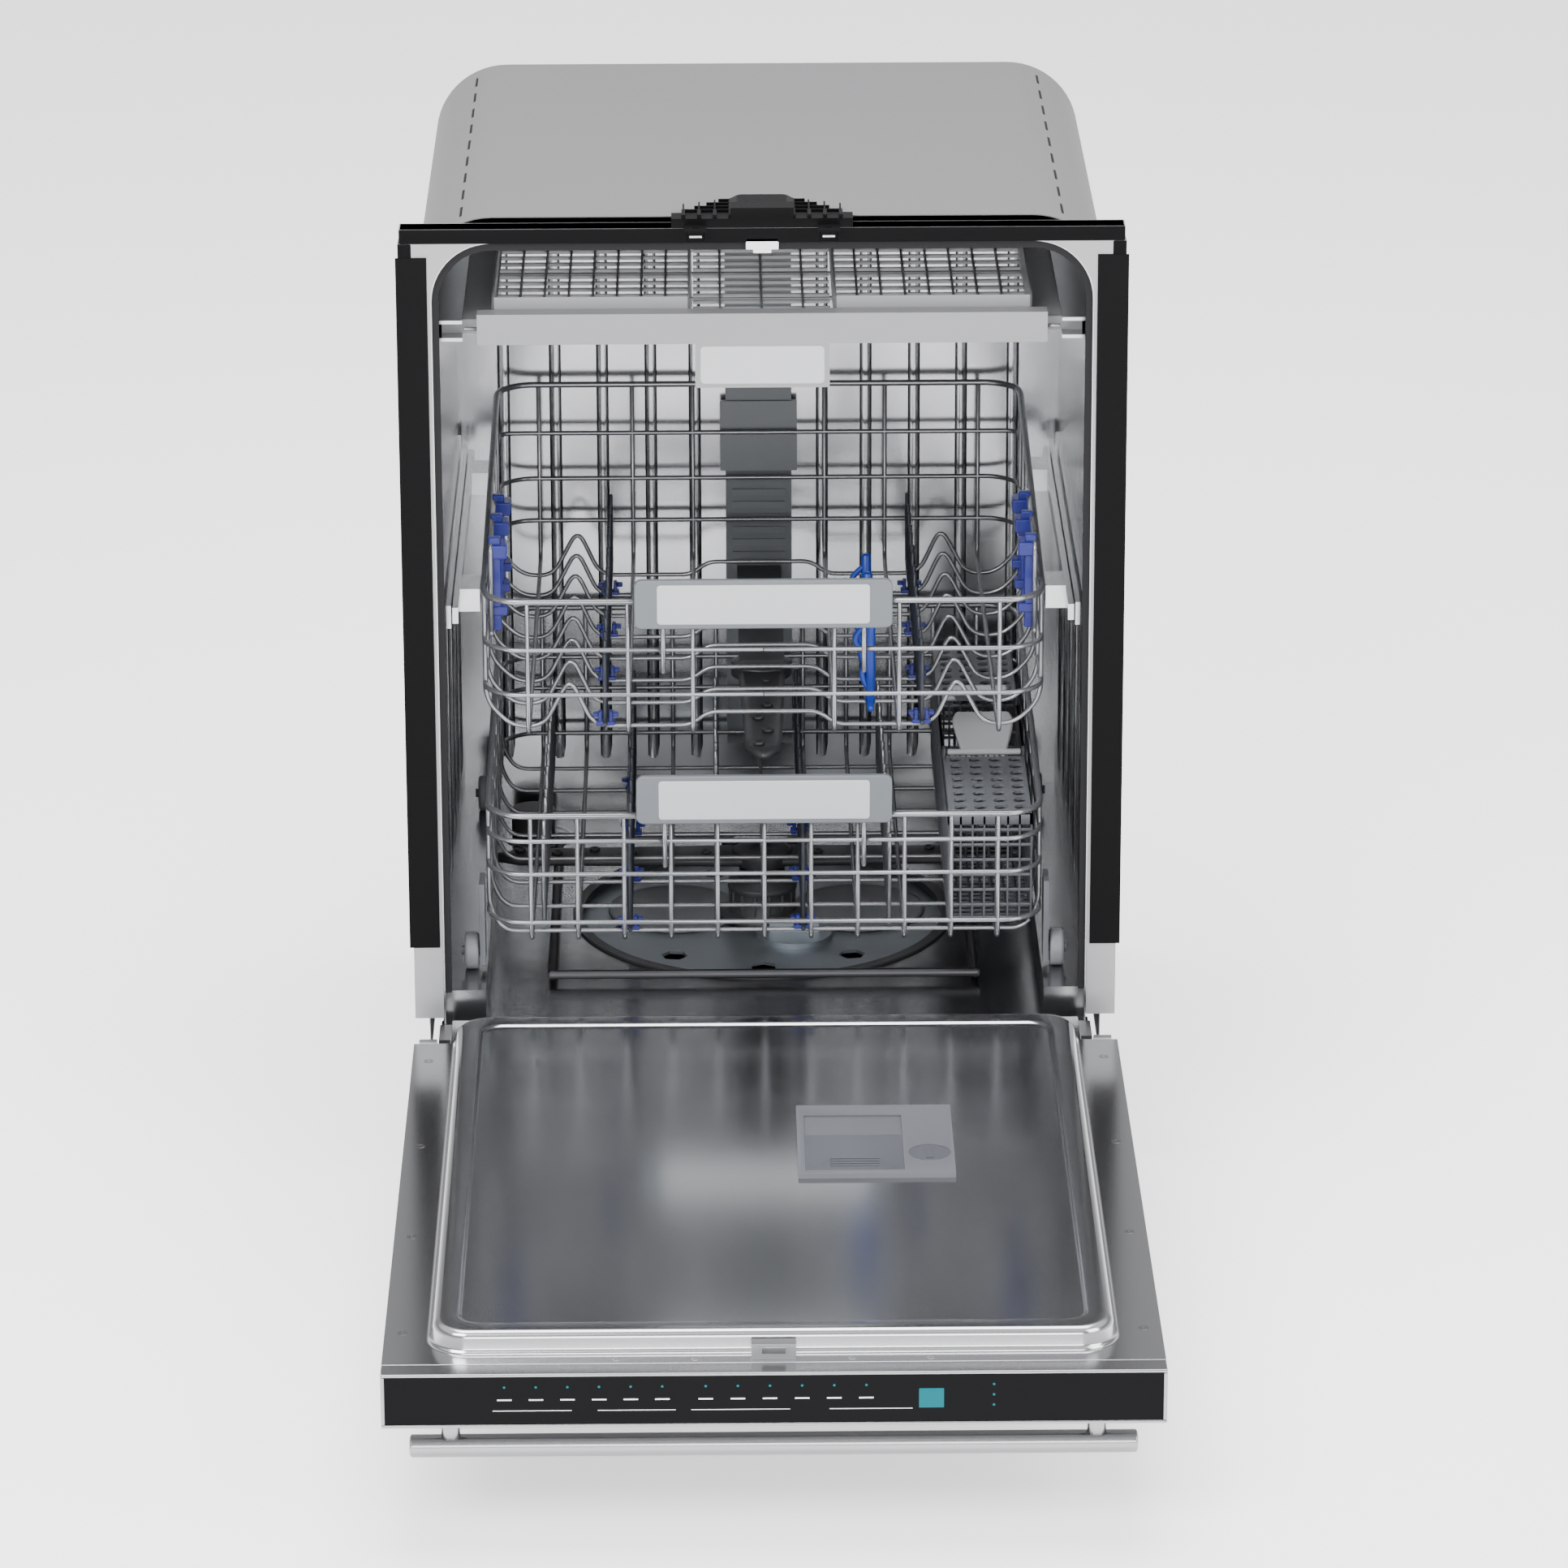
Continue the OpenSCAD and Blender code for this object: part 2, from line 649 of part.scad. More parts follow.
module dispenser_body()
    at() color("DarkGray")
        difference() {
            box(disp_x, disp_x + disp_w, disp_y, disp_y + disp_l, press_top - 25, press_top + 1);
            box(disp_x + 12, disp_x + 80, disp_y + 14, disp_y + 76, press_top - 20, press_top + 2);
            box(disp_x + 6, disp_x + 86, disp_y + 8, disp_y + 8 + lid_l + lid_travel + 2 * seat,
                press_top - 0.6, press_top + 2);
            rod_z(disp_x + 107, disp_y + 44, press_top - 8, press_top + 2, rinse_r + run, round_n);
        }
lid_l = 74;
module dispenser_lid()
    at() color("Gray") {
        box(disp_x + 6 + seat, disp_x + 86 - seat, disp_y + 8 + seat, disp_y + 8 + lid_l,
            press_top - 0.6 + seat, press_top + 0.9);
        for (i = [0:3])
            box(disp_x + 26, disp_x + 66, disp_y + 16 + i * 5, disp_y + 18 + i * 5,
                press_top + 0.9 - e, press_top + 1.5);
    }
module rinse_cap()
    at() color("Gray") {
        rod_z(disp_x + 107, disp_y + 44, press_top - 7.9, press_top + 0.6, rinse_r, round_n);
        box(disp_x + 104, disp_x + 110, disp_y + 32, disp_y + 56, press_top + 0.5, press_top + 1.5);
    }

// ---- Racks ----
function rim(y, f, r) = f + (r - f) * (y - rack_y0) / (rack_y1 - rack_y0);
module floor_grid(z) {
    n = round(2 * grid_half / 46);
    m = round((rack_y1 - rack_y0) / 62);
    y0 = rack_y0 + rim_r + 0.2;
    y1 = rack_y1 - rim_r - 0.2;
    for (i = [0:n])
        rod_y(-grid_half + 10 + i * (2 * grid_half - 20) / n, y0, y1, z, wire_r);
    for (i = [0:m])
        rod_x(-grid_half, grid_half, y0 + 8 + i * (y1 - y0 - 16) / m, z - 3, wire_r);
}
module side_grid(zb, zf, zr, levels) {
    y0 = rack_y0 + rim_r + 1;
    y1 = rack_y1 - rim_r - 1;
    n = round((y1 - y0) / 44);
    rod_slope(wall_x, y0, rim(y0, zf, zr), y1, rim(y1, zf, zr), rim_r);
    for (z = levels)
        rod_y(wall_x, y0, y1, z, wire_r);
    for (i = [0:n]) {
        y = y0 + 6 + i * (y1 - y0 - 12) / n;
        rod_z(wall_x, y, zb, rim(y, zf, zr), wire_r);
    }
}
module end_grid(y, zb, zt, levels) {
    w = wall_x - rim_r - seat;
    n = round(2 * w / 40);
    rod_x(-w, w, y, zt, rim_r);
    for (z = levels)
        rod_x(-w, w, y, z, wire_r);
    for (i = [0:n])
        rod_z(-w + 6 + i * (2 * w - 12) / n, y, zb, zt, wire_r);
}
module tine_row(x, z, l, off) {
    y0 = rack_y0 + 22 + off;
    n = floor((rack_y1 - 24 - y0) / tine_pitch);
    rod_y(x, y0 - 6, y0 + n * tine_pitch + 6, z, tine_r);
    for (i = [0:n])
        rod_z(x, y0 + i * tine_pitch, z, z + l, tine_r);
}
low_f = lv(low_front_z);
low_r = lv(low_rear_z);
up_f = lv(up_front_z);
up_r = lv(up_rear_z);
tine_up = wire_r + tine_r + 0.1;
module lower_floor()
    at() color("Silver") floor_grid(low_z);
module lower_walls()
    at() color("Silver") {
        both() side_grid(low_z - 4, low_f, low_r, [low_z + 18, low_z + 62]);
        end_grid(rack_y0, low_z - 4, low_f, [low_z + 18, low_z + 62]);
        end_grid(rack_y1, low_z - 4, low_r, [low_z + 18, low_z + 75]);
    }
module lower_fixed_tines()
    at() color("Silver")
        for (i = [0, 2, 4])
            tine_row(row_x(i), low_z + tine_up, low_tine_l, tine_pitch / 2);
module lower_tines_left()
    at() color("DarkSlateGray") tine_row(row_x(1), low_z + tine_up, low_tine_l, 0);
module lower_tines_right()
    at() color("DarkSlateGray") tine_row(row_x(3), low_z + tine_up, low_tine_l, 0);
module grip(zt)
    difference() {
        union() {
            box(-grip_w / 2, grip_w / 2, rack_y0 - 10.5, rack_y0 - 3.5, zt - grip_h / 2, zt + grip_h / 2);
            both()
                box(grip_w / 2 - 30, grip_w / 2 - 18, rack_y0 - 8, rack_y0 - 3.5, zt - 62, zt);
        }
        box(-grip_w / 2 + 8, grip_w / 2 - 8, rack_y0 - 11, rack_y0 - 9.5, zt - grip_h / 2 + 7,
            zt + grip_h / 2 - 7);
    }
module lower_handle()
    at() color("SlateGray") grip(low_f + 17);
module wheel_carriers()
    at() color("DarkGray")
        both()
            for (y = [wheel_y0, wheel_y1]) {
                box(rack_half + 1, rack_half + 5.5, y - 15, y + 15, wheel_z - 8, low_z + 42);
                rod_x(rack_half + 5.4, wheel_x + wheel_w / 2 + 3, y, wheel_z, axle_r, round_n);
            }
module wheel_pair(y)
    both()
        difference() {
            union() {
                rod_x(wheel_x - wheel_w / 2, wheel_x + wheel_w / 2, y, wheel_z, wheel_r - 2, round_n);
                rod_x(wheel_x - wheel_w / 2 + 2, wheel_x + wheel_w / 2 - 2, y, wheel_z, wheel_r, round_n);
            }
            rod_x(wheel_x - wheel_w, wheel_x + wheel_w, y, wheel_z, axle_r + run, round_n);
        }
module wheels_front()
    at() color("LightGray") wheel_pair(wheel_y0);
module wheels_rear()
    at() color("LightGray") wheel_pair(wheel_y1);
basket_top = basket_z + basket_h;
pivot_z = basket_top + 6;
module basket()
    at() color("DimGray") {
        difference() {
            box(basket_x0, basket_x1, basket_y0, basket_y1, basket_z, basket_top);
            for (i = [0:2])
                box(basket_x0 + basket_wall, basket_x1 - basket_wall,
                    basket_y0 + i * basket_seg + basket_wall, basket_y0 + (i + 1) * basket_seg - basket_wall,
                    basket_z + basket_wall, basket_top + 1);
        }
        for (i = [1, 2])
            for (x = [basket_x0, basket_x1 - 3.8])
                box(x, x + 3.8, basket_y0 + i * basket_seg - 4, basket_y0 + i * basket_seg + 4,
                    basket_top - 1, basket_top + 10);
    }
module basket_lid(y0, y1)
    difference() {
        union() {
            rod_y(basket_x0 + 2.2, y0 + 4, y1 - 4, basket_top + 2.2, 2, round_n);
            box(basket_x0 + 2.2, basket_x1 - 1, y0, y1, basket_top + 1.2, basket_top + 3.4);
        }
        for (i = [0:6])
            for (j = [0:2])
                box(basket_x0 + 12 + j * 19, basket_x0 + 24 + j * 19, y0 + 10 + i * (y1 - y0 - 20) / 7,
                    y0 + 18 + i * (y1 - y0 - 20) / 7, basket_top, basket_top + 5);
    }
module basket_lid_front()
    at() color("Gray") basket_lid(basket_y0 + 1, basket_y0 + basket_seg - 5);
module basket_lid_rear()
    at() color("Gray") basket_lid(basket_y0 + 2 * basket_seg + 5, basket_y1 - 1);
module basket_handle(y, s) {
    dy = s * basket_leg * cos(30);
    dz = basket_leg * sin(30);
    rod_x(basket_x0 + 4, basket_x1 - 4, y, pivot_z, 3, 8);
    for (x = [basket_x0 + 10, basket_x1 - 10])
        rod_slope(x, y, pivot_z, y + dy, pivot_z + dz, 3);
    rod_x(basket_x0 + 7, basket_x1 - 7, y + dy, pivot_z + dz, 4, 8);
}
module basket_handle_front()
    at() color("DarkGray") basket_handle(basket_y0 + basket_seg, 1);
module basket_handle_rear()
    at() color("DarkGray") basket_handle(basket_y0 + 2 * basket_seg, -1);
module upper_floor()
    at() color("Silver") floor_grid(up_z);
module upper_walls()
    at() color("Silver") {
        both() side_grid(up_z - 4, up_f, up_r, [up_z + 37, up_z + 77]);
        end_grid(rack_y0, up_z - 4, up_f, [up_z + 37, up_z + 77]);
        end_grid(rack_y1, up_z - 4, up_r, [up_z + 37, up_z + 100]);
    }
module upper_handle()
    at() color("SlateGray") grip(up_f);
module upper_rails()
    at() color("Silver")
        both() {
            box(tub_half - 16, tub_half - 11, 38, rack_y1 - 27, lv(rail_z) + 7, lv(rail_z) + rail_h - 7);
            for (y = [100, rack_y1 - 90])
                box(rack_half + 1, tub_half - 15.9, y - 20, y + 20, lv(rail_z) + 4,
                    lv(rail_z) + rail_h - 4);
        }
module upper_tines_left()
    at() color("DarkSlateGray") tine_row(-up_tine_x, up_z + tine_up, up_tine_l, 0);
module upper_tines_right()
    at() color("DarkSlateGray") tine_row(up_tine_x, up_z + tine_up, up_tine_l, 0);
shelf_y0 = 60;
shelf_l = 170;
module cup_shelf()
    difference() {
        union() {
            rod_y(rack_half - 9, shelf_y0, shelf_y0 + shelf_l, lv(shelf_z), 3, 12);
            box(rack_half - 11, rack_half - 7, shelf_y0 + 3, shelf_y0 + shelf_l - 3,
                lv(shelf_z), lv(shelf_z) + shelf_d);
        }
        for (i = [0:6])
            box(rack_half - 12, rack_half - 6, shelf_y0 + 12 + i * 21.5,
                shelf_y0 + 26 + i * 21.5, lv(shelf_z) + 9, lv(shelf_z) + shelf_d - 9);
    }
module cup_shelf_left()
    at() color("RoyalBlue") mirror([1, 0, 0]) cup_shelf();
module cup_shelf_right()
    at() color("RoyalBlue") cup_shelf();
module stem_holder()
    at() color("RoyalBlue") {
        rod_y(stem_x, 80, 262, up_z + tine_up + 1.2, 3, 12);
        difference() {
            box(stem_x - 1.5, stem_x + 1.5, 84, 258, up_z + tine_up + 1.2, up_z + tine_up + stem_h);
            for (i = [0:4])
                box(stem_x - 2, stem_x + 2, 96 + i * 32, 114 + i * 32, up_z + tine_up + 44,
                    up_z + tine_up + stem_h + 1);
            for (i = [0:4])
                box(stem_x - 2, stem_x + 2, 96 + i * 32, 114 + i * 32, up_z + tine_up + 10,
                    up_z + tine_up + 34);
        }
    }
third_y1 = rack_y1 - 22;
tz = lv(third_z);
module third_frame()
    at() color("LightGray") {
        box(-third_half, third_half, 22, 38, tz, tz + third_h);
        box(-third_grip_w / 2, third_grip_w / 2, 22, 30, tz - 38, tz + e);
        box(-third_half, third_half, third_y1 - 10, third_y1, tz + 2, tz + 16);
        both() {
            box(third_half - 9.5, third_half, 38 - e, third_y1, tz + 2, tz + 16);
            box(third_half - e, tub_half - 6.5, 45, third_y1, tz + 4.1, tz + 15.9);
        }
        for (i = [0:5])
            rod_x(-third_half + 5, third_half - 5, 70 + i * (third_y1 - 110) / 5, tz + 3.5, 2);
    }
module third_trays()
    at() color("WhiteSmoke")
        both()
            difference() {
                box(tray_in, third_half - 12, 41, third_y1 - 12, tz + 5.8, tz + 5.8 + tray_h);
                box(tray_in + 1.6, third_half - 13.6, 42.6, third_y1 - 13.6, tz + 7.4, tz + 6 + tray_h + 1);
            }

base_pan();
feet();
tub_shell();
tub_jacket();
front_collar();
side_strips();
door_gasket();
latch_bridge();
hinge_brackets();
toe_kick();
sump_housing();
filter_plate();
coarse_filter();
heating_element();
pumps();
inlet_valve();
terminal_box();
supply_duct();
top_rotor();
lower_arm();
middle_arm();
feed_tube();
float_cap();
fixed_rails();
rail_middles();
outer_panel();
inner_liner();
liner_screws();
control_panel();
door_handle();
door_latch();
hinge_arms();
dispenser_body();
dispenser_lid();
rinse_cap();
lower_floor();
lower_walls();
lower_fixed_tines();
lower_tines_left();
lower_tines_right();
lower_handle();
wheel_carriers();
wheels_front();
wheels_rear();
basket();
basket_lid_front();
basket_lid_rear();
basket_handle_front();
basket_handle_rear();
upper_floor();
upper_walls();
upper_handle();
upper_rails();
upper_tines_left();
upper_tines_right();
cup_shelf_left();
cup_shelf_right();
stem_holder();
third_frame();
third_trays();
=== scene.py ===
import math
import bpy
import bmesh
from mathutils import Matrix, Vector


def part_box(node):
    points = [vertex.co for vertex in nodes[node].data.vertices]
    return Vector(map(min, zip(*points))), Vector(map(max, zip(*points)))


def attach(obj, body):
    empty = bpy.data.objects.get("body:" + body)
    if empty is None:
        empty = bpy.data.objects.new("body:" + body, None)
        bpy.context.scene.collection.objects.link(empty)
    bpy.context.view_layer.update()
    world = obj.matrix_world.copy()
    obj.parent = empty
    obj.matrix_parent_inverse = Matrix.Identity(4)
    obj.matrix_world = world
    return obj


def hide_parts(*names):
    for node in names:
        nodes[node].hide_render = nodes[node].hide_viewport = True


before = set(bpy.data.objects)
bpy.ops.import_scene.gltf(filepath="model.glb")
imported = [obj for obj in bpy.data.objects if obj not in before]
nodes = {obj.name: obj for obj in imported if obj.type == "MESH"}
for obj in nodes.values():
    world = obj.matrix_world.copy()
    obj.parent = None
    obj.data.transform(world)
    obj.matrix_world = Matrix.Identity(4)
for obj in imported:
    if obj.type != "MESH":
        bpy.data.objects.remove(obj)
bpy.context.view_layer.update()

# A built in dishwasher with its door let down and its racks in. Lengths are in metres, x runs across
# the front, y runs back and z runs up. Pieces take their size and place from the CAD nodes' boxes.

scene = bpy.context.scene

FRONT_Y = 0.0945  # front plane of the cabinet in the frame

# ---- camera ----
cam_data = bpy.data.cameras.new("camera")
cam_data.lens = 161.31
cam_data.sensor_width = 36.0
cam_data.clip_end = 60.0
cam = bpy.data.objects.new("camera", cam_data)
cam.location = (-0.0434, -5.613 + FRONT_Y, 2.3522)
cam.rotation_euler = (math.radians(90 - 19.553), math.radians(0.157), math.radians(-0.669))
scene.collection.objects.link(cam)
scene.camera = cam


# ---- materials ----
def material(name, base, rough=0.5, metal=0.0, vary=0.06, scale=40.0, bump=0.05, stretch=None,
             coat=0.0, edge=0.0, rough_vary=0.1, grain=0.0002, spec=0.5):
    """A procedural finish: colour drift, grain, a worn edge, and a varied roughness."""
    m = bpy.data.materials.new(name)
    m.use_nodes = True
    nt = m.node_tree
    n = nt.nodes
    link = nt.links.new
    bsdf = next(x for x in n if x.type == "BSDF_PRINCIPLED")
    bsdf.inputs["Metallic"].default_value = metal
    bsdf.inputs["Specular IOR Level"].default_value = spec
    if coat:
        bsdf.inputs["Coat Weight"].default_value = coat
        bsdf.inputs["Coat Roughness"].default_value = 0.08
    tc = n.new("ShaderNodeTexCoord")
    mp = n.new("ShaderNodeMapping")
    mp.inputs["Scale"].default_value = stretch or (1, 1, 1)
    link(tc.outputs["Object"], mp.inputs["Vector"])
    big = n.new("ShaderNodeTexNoise")
    big.inputs["Scale"].default_value = 5.0
    big.inputs["Detail"].default_value = 3.0
    link(tc.outputs["Object"], big.inputs["Vector"])
    fine = n.new("ShaderNodeTexNoise")
    fine.inputs["Scale"].default_value = scale
    fine.inputs["Detail"].default_value = 4.0
    fine.inputs["Roughness"].default_value = 0.6
    link(mp.outputs["Vector"], fine.inputs["Vector"])
    ramp = n.new("ShaderNodeMix")
    ramp.data_type = "RGBA"
    lo = [max(0.0, c * (1 - vary)) for c in base]
    hi = [min(1.0, c * (1 + vary)) for c in base]
    ramp.inputs["A"].default_value = (*lo, 1)
    ramp.inputs["B"].default_value = (*hi, 1)
    both = n.new("ShaderNodeMath")
    both.operation = "ADD"
    half = n.new("ShaderNodeMath")
    half.operation = "MULTIPLY"
    half.inputs[1].default_value = 0.5
    link(big.outputs["Fac"], both.inputs[0])
    link(fine.outputs["Fac"], both.inputs[1])
    link(both.outputs[0], half.inputs[0])
    link(half.outputs[0], ramp.inputs["Factor"])
    last = ramp.outputs["Result"]
    if edge:
        geo = n.new("ShaderNodeNewGeometry")
        wear = n.new("ShaderNodeMapRange")
        wear.inputs["From Min"].default_value = 0.52
        wear.inputs["From Max"].default_value = 0.62
        wear.inputs["To Max"].default_value = edge
        link(geo.outputs["Pointiness"], wear.inputs["Value"])
        worn = n.new("ShaderNodeMix")
        worn.data_type = "RGBA"
        worn.inputs["B"].default_value = (*[min(1.0, c * 1.5 + 0.05) for c in base], 1)
        link(wear.outputs["Result"], worn.inputs["Factor"])
        link(last, worn.inputs["A"])
        last = worn.outputs["Result"]
    link(last, bsdf.inputs["Base Color"])
    rr = n.new("ShaderNodeMapRange")
    rr.inputs["To Min"].default_value = max(0.02, rough - rough_vary / 2)
    rr.inputs["To Max"].default_value = min(1.0, rough + rough_vary / 2)
    link(fine.outputs["Fac"], rr.inputs["Value"])
    link(rr.outputs["Result"], bsdf.inputs["Roughness"])
    bp = n.new("ShaderNodeBump")
    bp.inputs["Strength"].default_value = bump
    bp.inputs["Distance"].default_value = grain
    link(fine.outputs["Fac"], bp.inputs["Height"])
    link(bp.outputs["Normal"], bsdf.inputs["Normal"])
    return m


M = {
    "tub": material("tub_steel", (0.45, 0.455, 0.465), 0.2, 1.0, 0.06, 240, 0.015, (1, 1, 12),
                    rough_vary=0.08),
    "liner": material("liner_steel", (0.48, 0.485, 0.495), 0.17, 1.0, 0.05, 160, 0.012,
                      (14, 1, 1), rough_vary=0.06),
    "skin": material("door_steel", (0.25, 0.2525, 0.258), 0.3, 1.0, 0.05, 90, 0.08, (1, 30, 30),
                     rough_vary=0.1),
    "frame": material("frame_steel", (0.3, 0.303, 0.308), 0.4, 0.6, 0.04, 80, 0.06, (20, 20, 1)),
    "wrap": material("wrap_grey", (0.115, 0.115, 0.118), 0.55, 0.0, 0.05, 180, 0.08, edge=0.15,
                     spec=0.4),
    "black": material("black_plastic", (0.0022, 0.0022, 0.0025), 0.42, 0.0, 0.3, 260, 0.12,
                      edge=0.03, spec=0.05),
    "glass": material("panel_glass", (0.0015, 0.0015, 0.002), 0.12, 0.0, 0.3, 30, 0.01,
                      rough_vary=0.04, spec=0.08),
    "strip": material("strip_white", (0.74, 0.75, 0.76), 0.45, 0.0, 0.03, 200, 0.08, edge=0.2),
    "gasket": material("gasket", (0.012, 0.012, 0.013), 0.7, 0.0, 0.2, 320, 0.2, spec=0.15),
    "zinc": material("bracket_steel", (0.2, 0.205, 0.21), 0.42, 1.0, 0.12, 60, 0.15, edge=0.4),
    "foot": material("foot", (0.03, 0.03, 0.032), 0.55, 0.0, 0.15, 200, 0.1, edge=0.3, spec=0.25),
    "sump": material("sump_grey", (0.035, 0.036, 0.038), 0.42, 0.0, 0.12, 220, 0.1, edge=0.15,
                     spec=0.35),
    "mesh": material("filter_mesh", (0.3, 0.33, 0.36), 0.4, 0.8, 0.3, 900, 0.6, rough_vary=0.3),
    "heater": material("heater", (0.07, 0.07, 0.075), 0.42, 1.0, 0.2, 50, 0.2, edge=0.1),
    "pump": material("pump_body", (0.14, 0.145, 0.155), 0.5, 0.0, 0.08, 160, 0.12, edge=0.2),
    "valve": material("valve_white", (0.75, 0.75, 0.73), 0.45, 0.0, 0.04, 160, 0.1, edge=0.2),
    "duct": material("duct", (0.13, 0.14, 0.15), 0.42, 0.0, 0.06, 200, 0.08, edge=0.15),
    "arm": material("spray_arm", (0.018, 0.0185, 0.02), 0.36, 0.0, 0.12, 240, 0.08, edge=0.15,
                    spec=0.35),
    "rail": material("rail_steel", (0.5, 0.51, 0.52), 0.22, 1.0, 0.05, 70, 0.06, (1, 16, 1)),
    "handle": material("handle_steel", (0.32, 0.323, 0.33), 0.24, 1.0, 0.04, 120, 0.06, (30, 1, 1)),
    "disp": material("dispenser", (0.085, 0.088, 0.1), 0.3, 0.0, 0.08, 220, 0.06, edge=0.2),
    "displid": material("dispenser_lid", (0.05, 0.053, 0.062), 0.24, 0.0, 0.08, 220, 0.05, edge=0.2),
    "wire": material("rack_wire", (0.24, 0.244, 0.258), 0.24, 0.75, 0.08, 140, 0.06),
    "tine": material("tine_dark", (0.02, 0.023, 0.032), 0.36, 0.0, 0.12, 200, 0.08, spec=0.4),
    "grip": material("grip", (0.115, 0.124, 0.136), 0.4, 0.0, 0.05, 220, 0.06, edge=0.1),
    "pad": material("grip_pad", (0.42, 0.43, 0.44), 0.34, 0.0, 0.03, 220, 0.04, edge=0.05),
    "wheel": material("wheel", (0.2, 0.205, 0.22), 0.42, 0.0, 0.06, 180, 0.08, edge=0.2),
    "carrier": material("carrier", (0.12, 0.125, 0.14), 0.45, 0.0, 0.08, 200, 0.1, edge=0.2),
    "basket": material("basket_grey", (0.06, 0.063, 0.073), 0.4, 0.0, 0.08, 220, 0.08, edge=0.15),
    "basketlt": material("basket_light", (0.13, 0.137, 0.15), 0.38, 0.0, 0.06, 220, 0.06, edge=0.1),
    "blue": material("blue", (0.006, 0.028, 0.24), 0.3, 0.0, 0.1, 180, 0.06, edge=0.1, spec=0.35),
    "navy": material("navy_clip", (0.012, 0.016, 0.16), 0.32, 0.0, 0.1, 180, 0.06, spec=0.35),
    "third": material("third_grey", (0.2, 0.203, 0.208), 0.42, 0.0, 0.05, 220, 0.06, edge=0.1),
    "thirdlt": material("third_light", (0.22, 0.224, 0.228), 0.42, 0.0, 0.04, 220, 0.06, edge=0.1),
}
led = bpy.data.materials.new("led")
led.use_nodes = True
glow = next(x for x in led.node_tree.nodes if x.type == "BSDF_PRINCIPLED")
glow.inputs["Base Color"].default_value = (0.0, 0.08, 0.1, 1)
glow.inputs["Emission Color"].default_value = (0.0, 0.3, 0.36, 1)
glow.inputs["Emission Strength"].default_value = 0.3
glow.inputs["Specular IOR Level"].default_value = 0.1
M["led"] = led


# ---- makers ----
def add_object(name, data, body, mat):
    """Puts a mesh in the scene with its finish, riding on a body."""
    ob = bpy.data.objects.new(name, data)
    scene.collection.objects.link(ob)
    data.materials.append(M[mat])
    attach(ob, body)
    return ob


def soften(ob, width):
    """Rounds the edges sharper than 35 degrees."""
    b = ob.modifiers.new("bevel", "BEVEL")
    b.width = width
    b.segments = 2
    b.limit_method = "ANGLE"
    b.angle_limit = math.radians(35)
    b.harden_normals = True


def smooth_mesh(name, bm):
    bmesh.ops.recalc_face_normals(bm, faces=bm.faces[:])
    me = bpy.data.meshes.new(name)
    bm.to_mesh(me)
    bm.free()
    for p in me.polygons:
        p.use_smooth = True
    return me


def mesh_object(name, bm, body, mat, bevel=0.0):
    """A solid piece, with softened edges where bevel gives their width."""
    me = smooth_mesh(name, bm)
    ob = add_object(name, me, body, mat)
    if bevel:
        soften(ob, bevel)
    wn = ob.modifiers.new("normals", "WEIGHTED_NORMAL")
    wn.keep_sharp = True
    return ob


def add_box(bm, x0, x1, y0, y1, z0, z1):
    vs = [bm.verts.new((x, y, z)) for x in (x0, x1) for y in (y0, y1) for z in (z0, z1)]
    for q in ((0, 1, 3, 2), (4, 6, 7, 5), (0, 4, 5, 1), (2, 3, 7, 6), (0, 2, 6, 4), (1, 5, 7, 3)):
        bm.faces.new([vs[i] for i in q])


def add_loft(bm, loops, cap=True):
    """Joins closed loops of equal length into one skin."""
    rows = [[bm.verts.new(p) for p in loop] for loop in loops]
    n = len(rows[0])
    for a, b in zip(rows, rows[1:]):
        for i in range(n):
            bm.faces.new((a[i], a[(i + 1) % n], b[(i + 1) % n], b[i]))
    if cap:
        bm.faces.new(rows[0][::-1])
        bm.faces.new(rows[-1])


def ring_points(c, u, v, ru, rv, n=24):
    return [c + u * (ru * math.cos(2 * math.pi * i / n)) + v * (rv * math.sin(2 * math.pi * i / n))
            for i in range(n)]


def add_turned(bm, base, axis, profile, n=40):
    """A turned body: profile is (distance along axis, radius) from base."""
    axis = Vector(axis).normalized()
    u = axis.orthogonal().normalized()
    v = axis.cross(u)
    base = Vector(base)
    add_loft(bm, [ring_points(base + axis * d, u, v, r, r, n) for d, r in profile])


def round_loop(x0, x1, y0, y1, z, r, n=8):
    """A level rectangle with rounded corners."""
    pts = []
    corners = ((x1 - r, y1 - r, 0), (x0 + r, y1 - r, 90), (x0 + r, y0 + r, 180), (x1 - r, y0 + r, 270))
    for cx, cy, a0 in corners:
        for i in range(n + 1):
            a = math.radians(a0 + 90 * i / n)
            pts.append(Vector((cx + r * math.cos(a), cy + r * math.sin(a), z)))
    return pts


def face_loop(x0, x1, z0, z1, y, r):
    """The same rectangle standing up, facing the front."""
    return [Vector((p.x, y, p.y)) for p in round_loop(x0, x1, z0, z1, 0, r)]


def fillet(points, r, n=5):
    """Rounds the inner corners of a path."""
    pts = [Vector(p) for p in points]
    out = [pts[0]]
    for a, b, c in zip(pts, pts[1:], pts[2:]):
        u = (a - b)
        w = (c - b)
        d = min(r, u.length * 0.45, w.length * 0.45)
        p = b + u.normalized() * d
        q = b + w.normalized() * d
        for i in range(n + 1):
            t = i / n
            out.append(p * (1 - t) ** 2 + b * (2 * t * (1 - t)) + q * t ** 2)
    out.append(pts[-1])
    return out


def wires(name, paths, r, body, mat, bend=0.008):
    """Many bent round wires in one mesh; r is one radius, or one for each path."""
    bm = bmesh.new()
    for k, path in enumerate(paths):
        pts = fillet(path, bend) if len(path) > 2 else [Vector(p) for p in path]
        tube(bm, pts, r[k] if isinstance(r, list) else r, 8)
    return add_object(name, smooth_mesh(name, bm), body, mat)


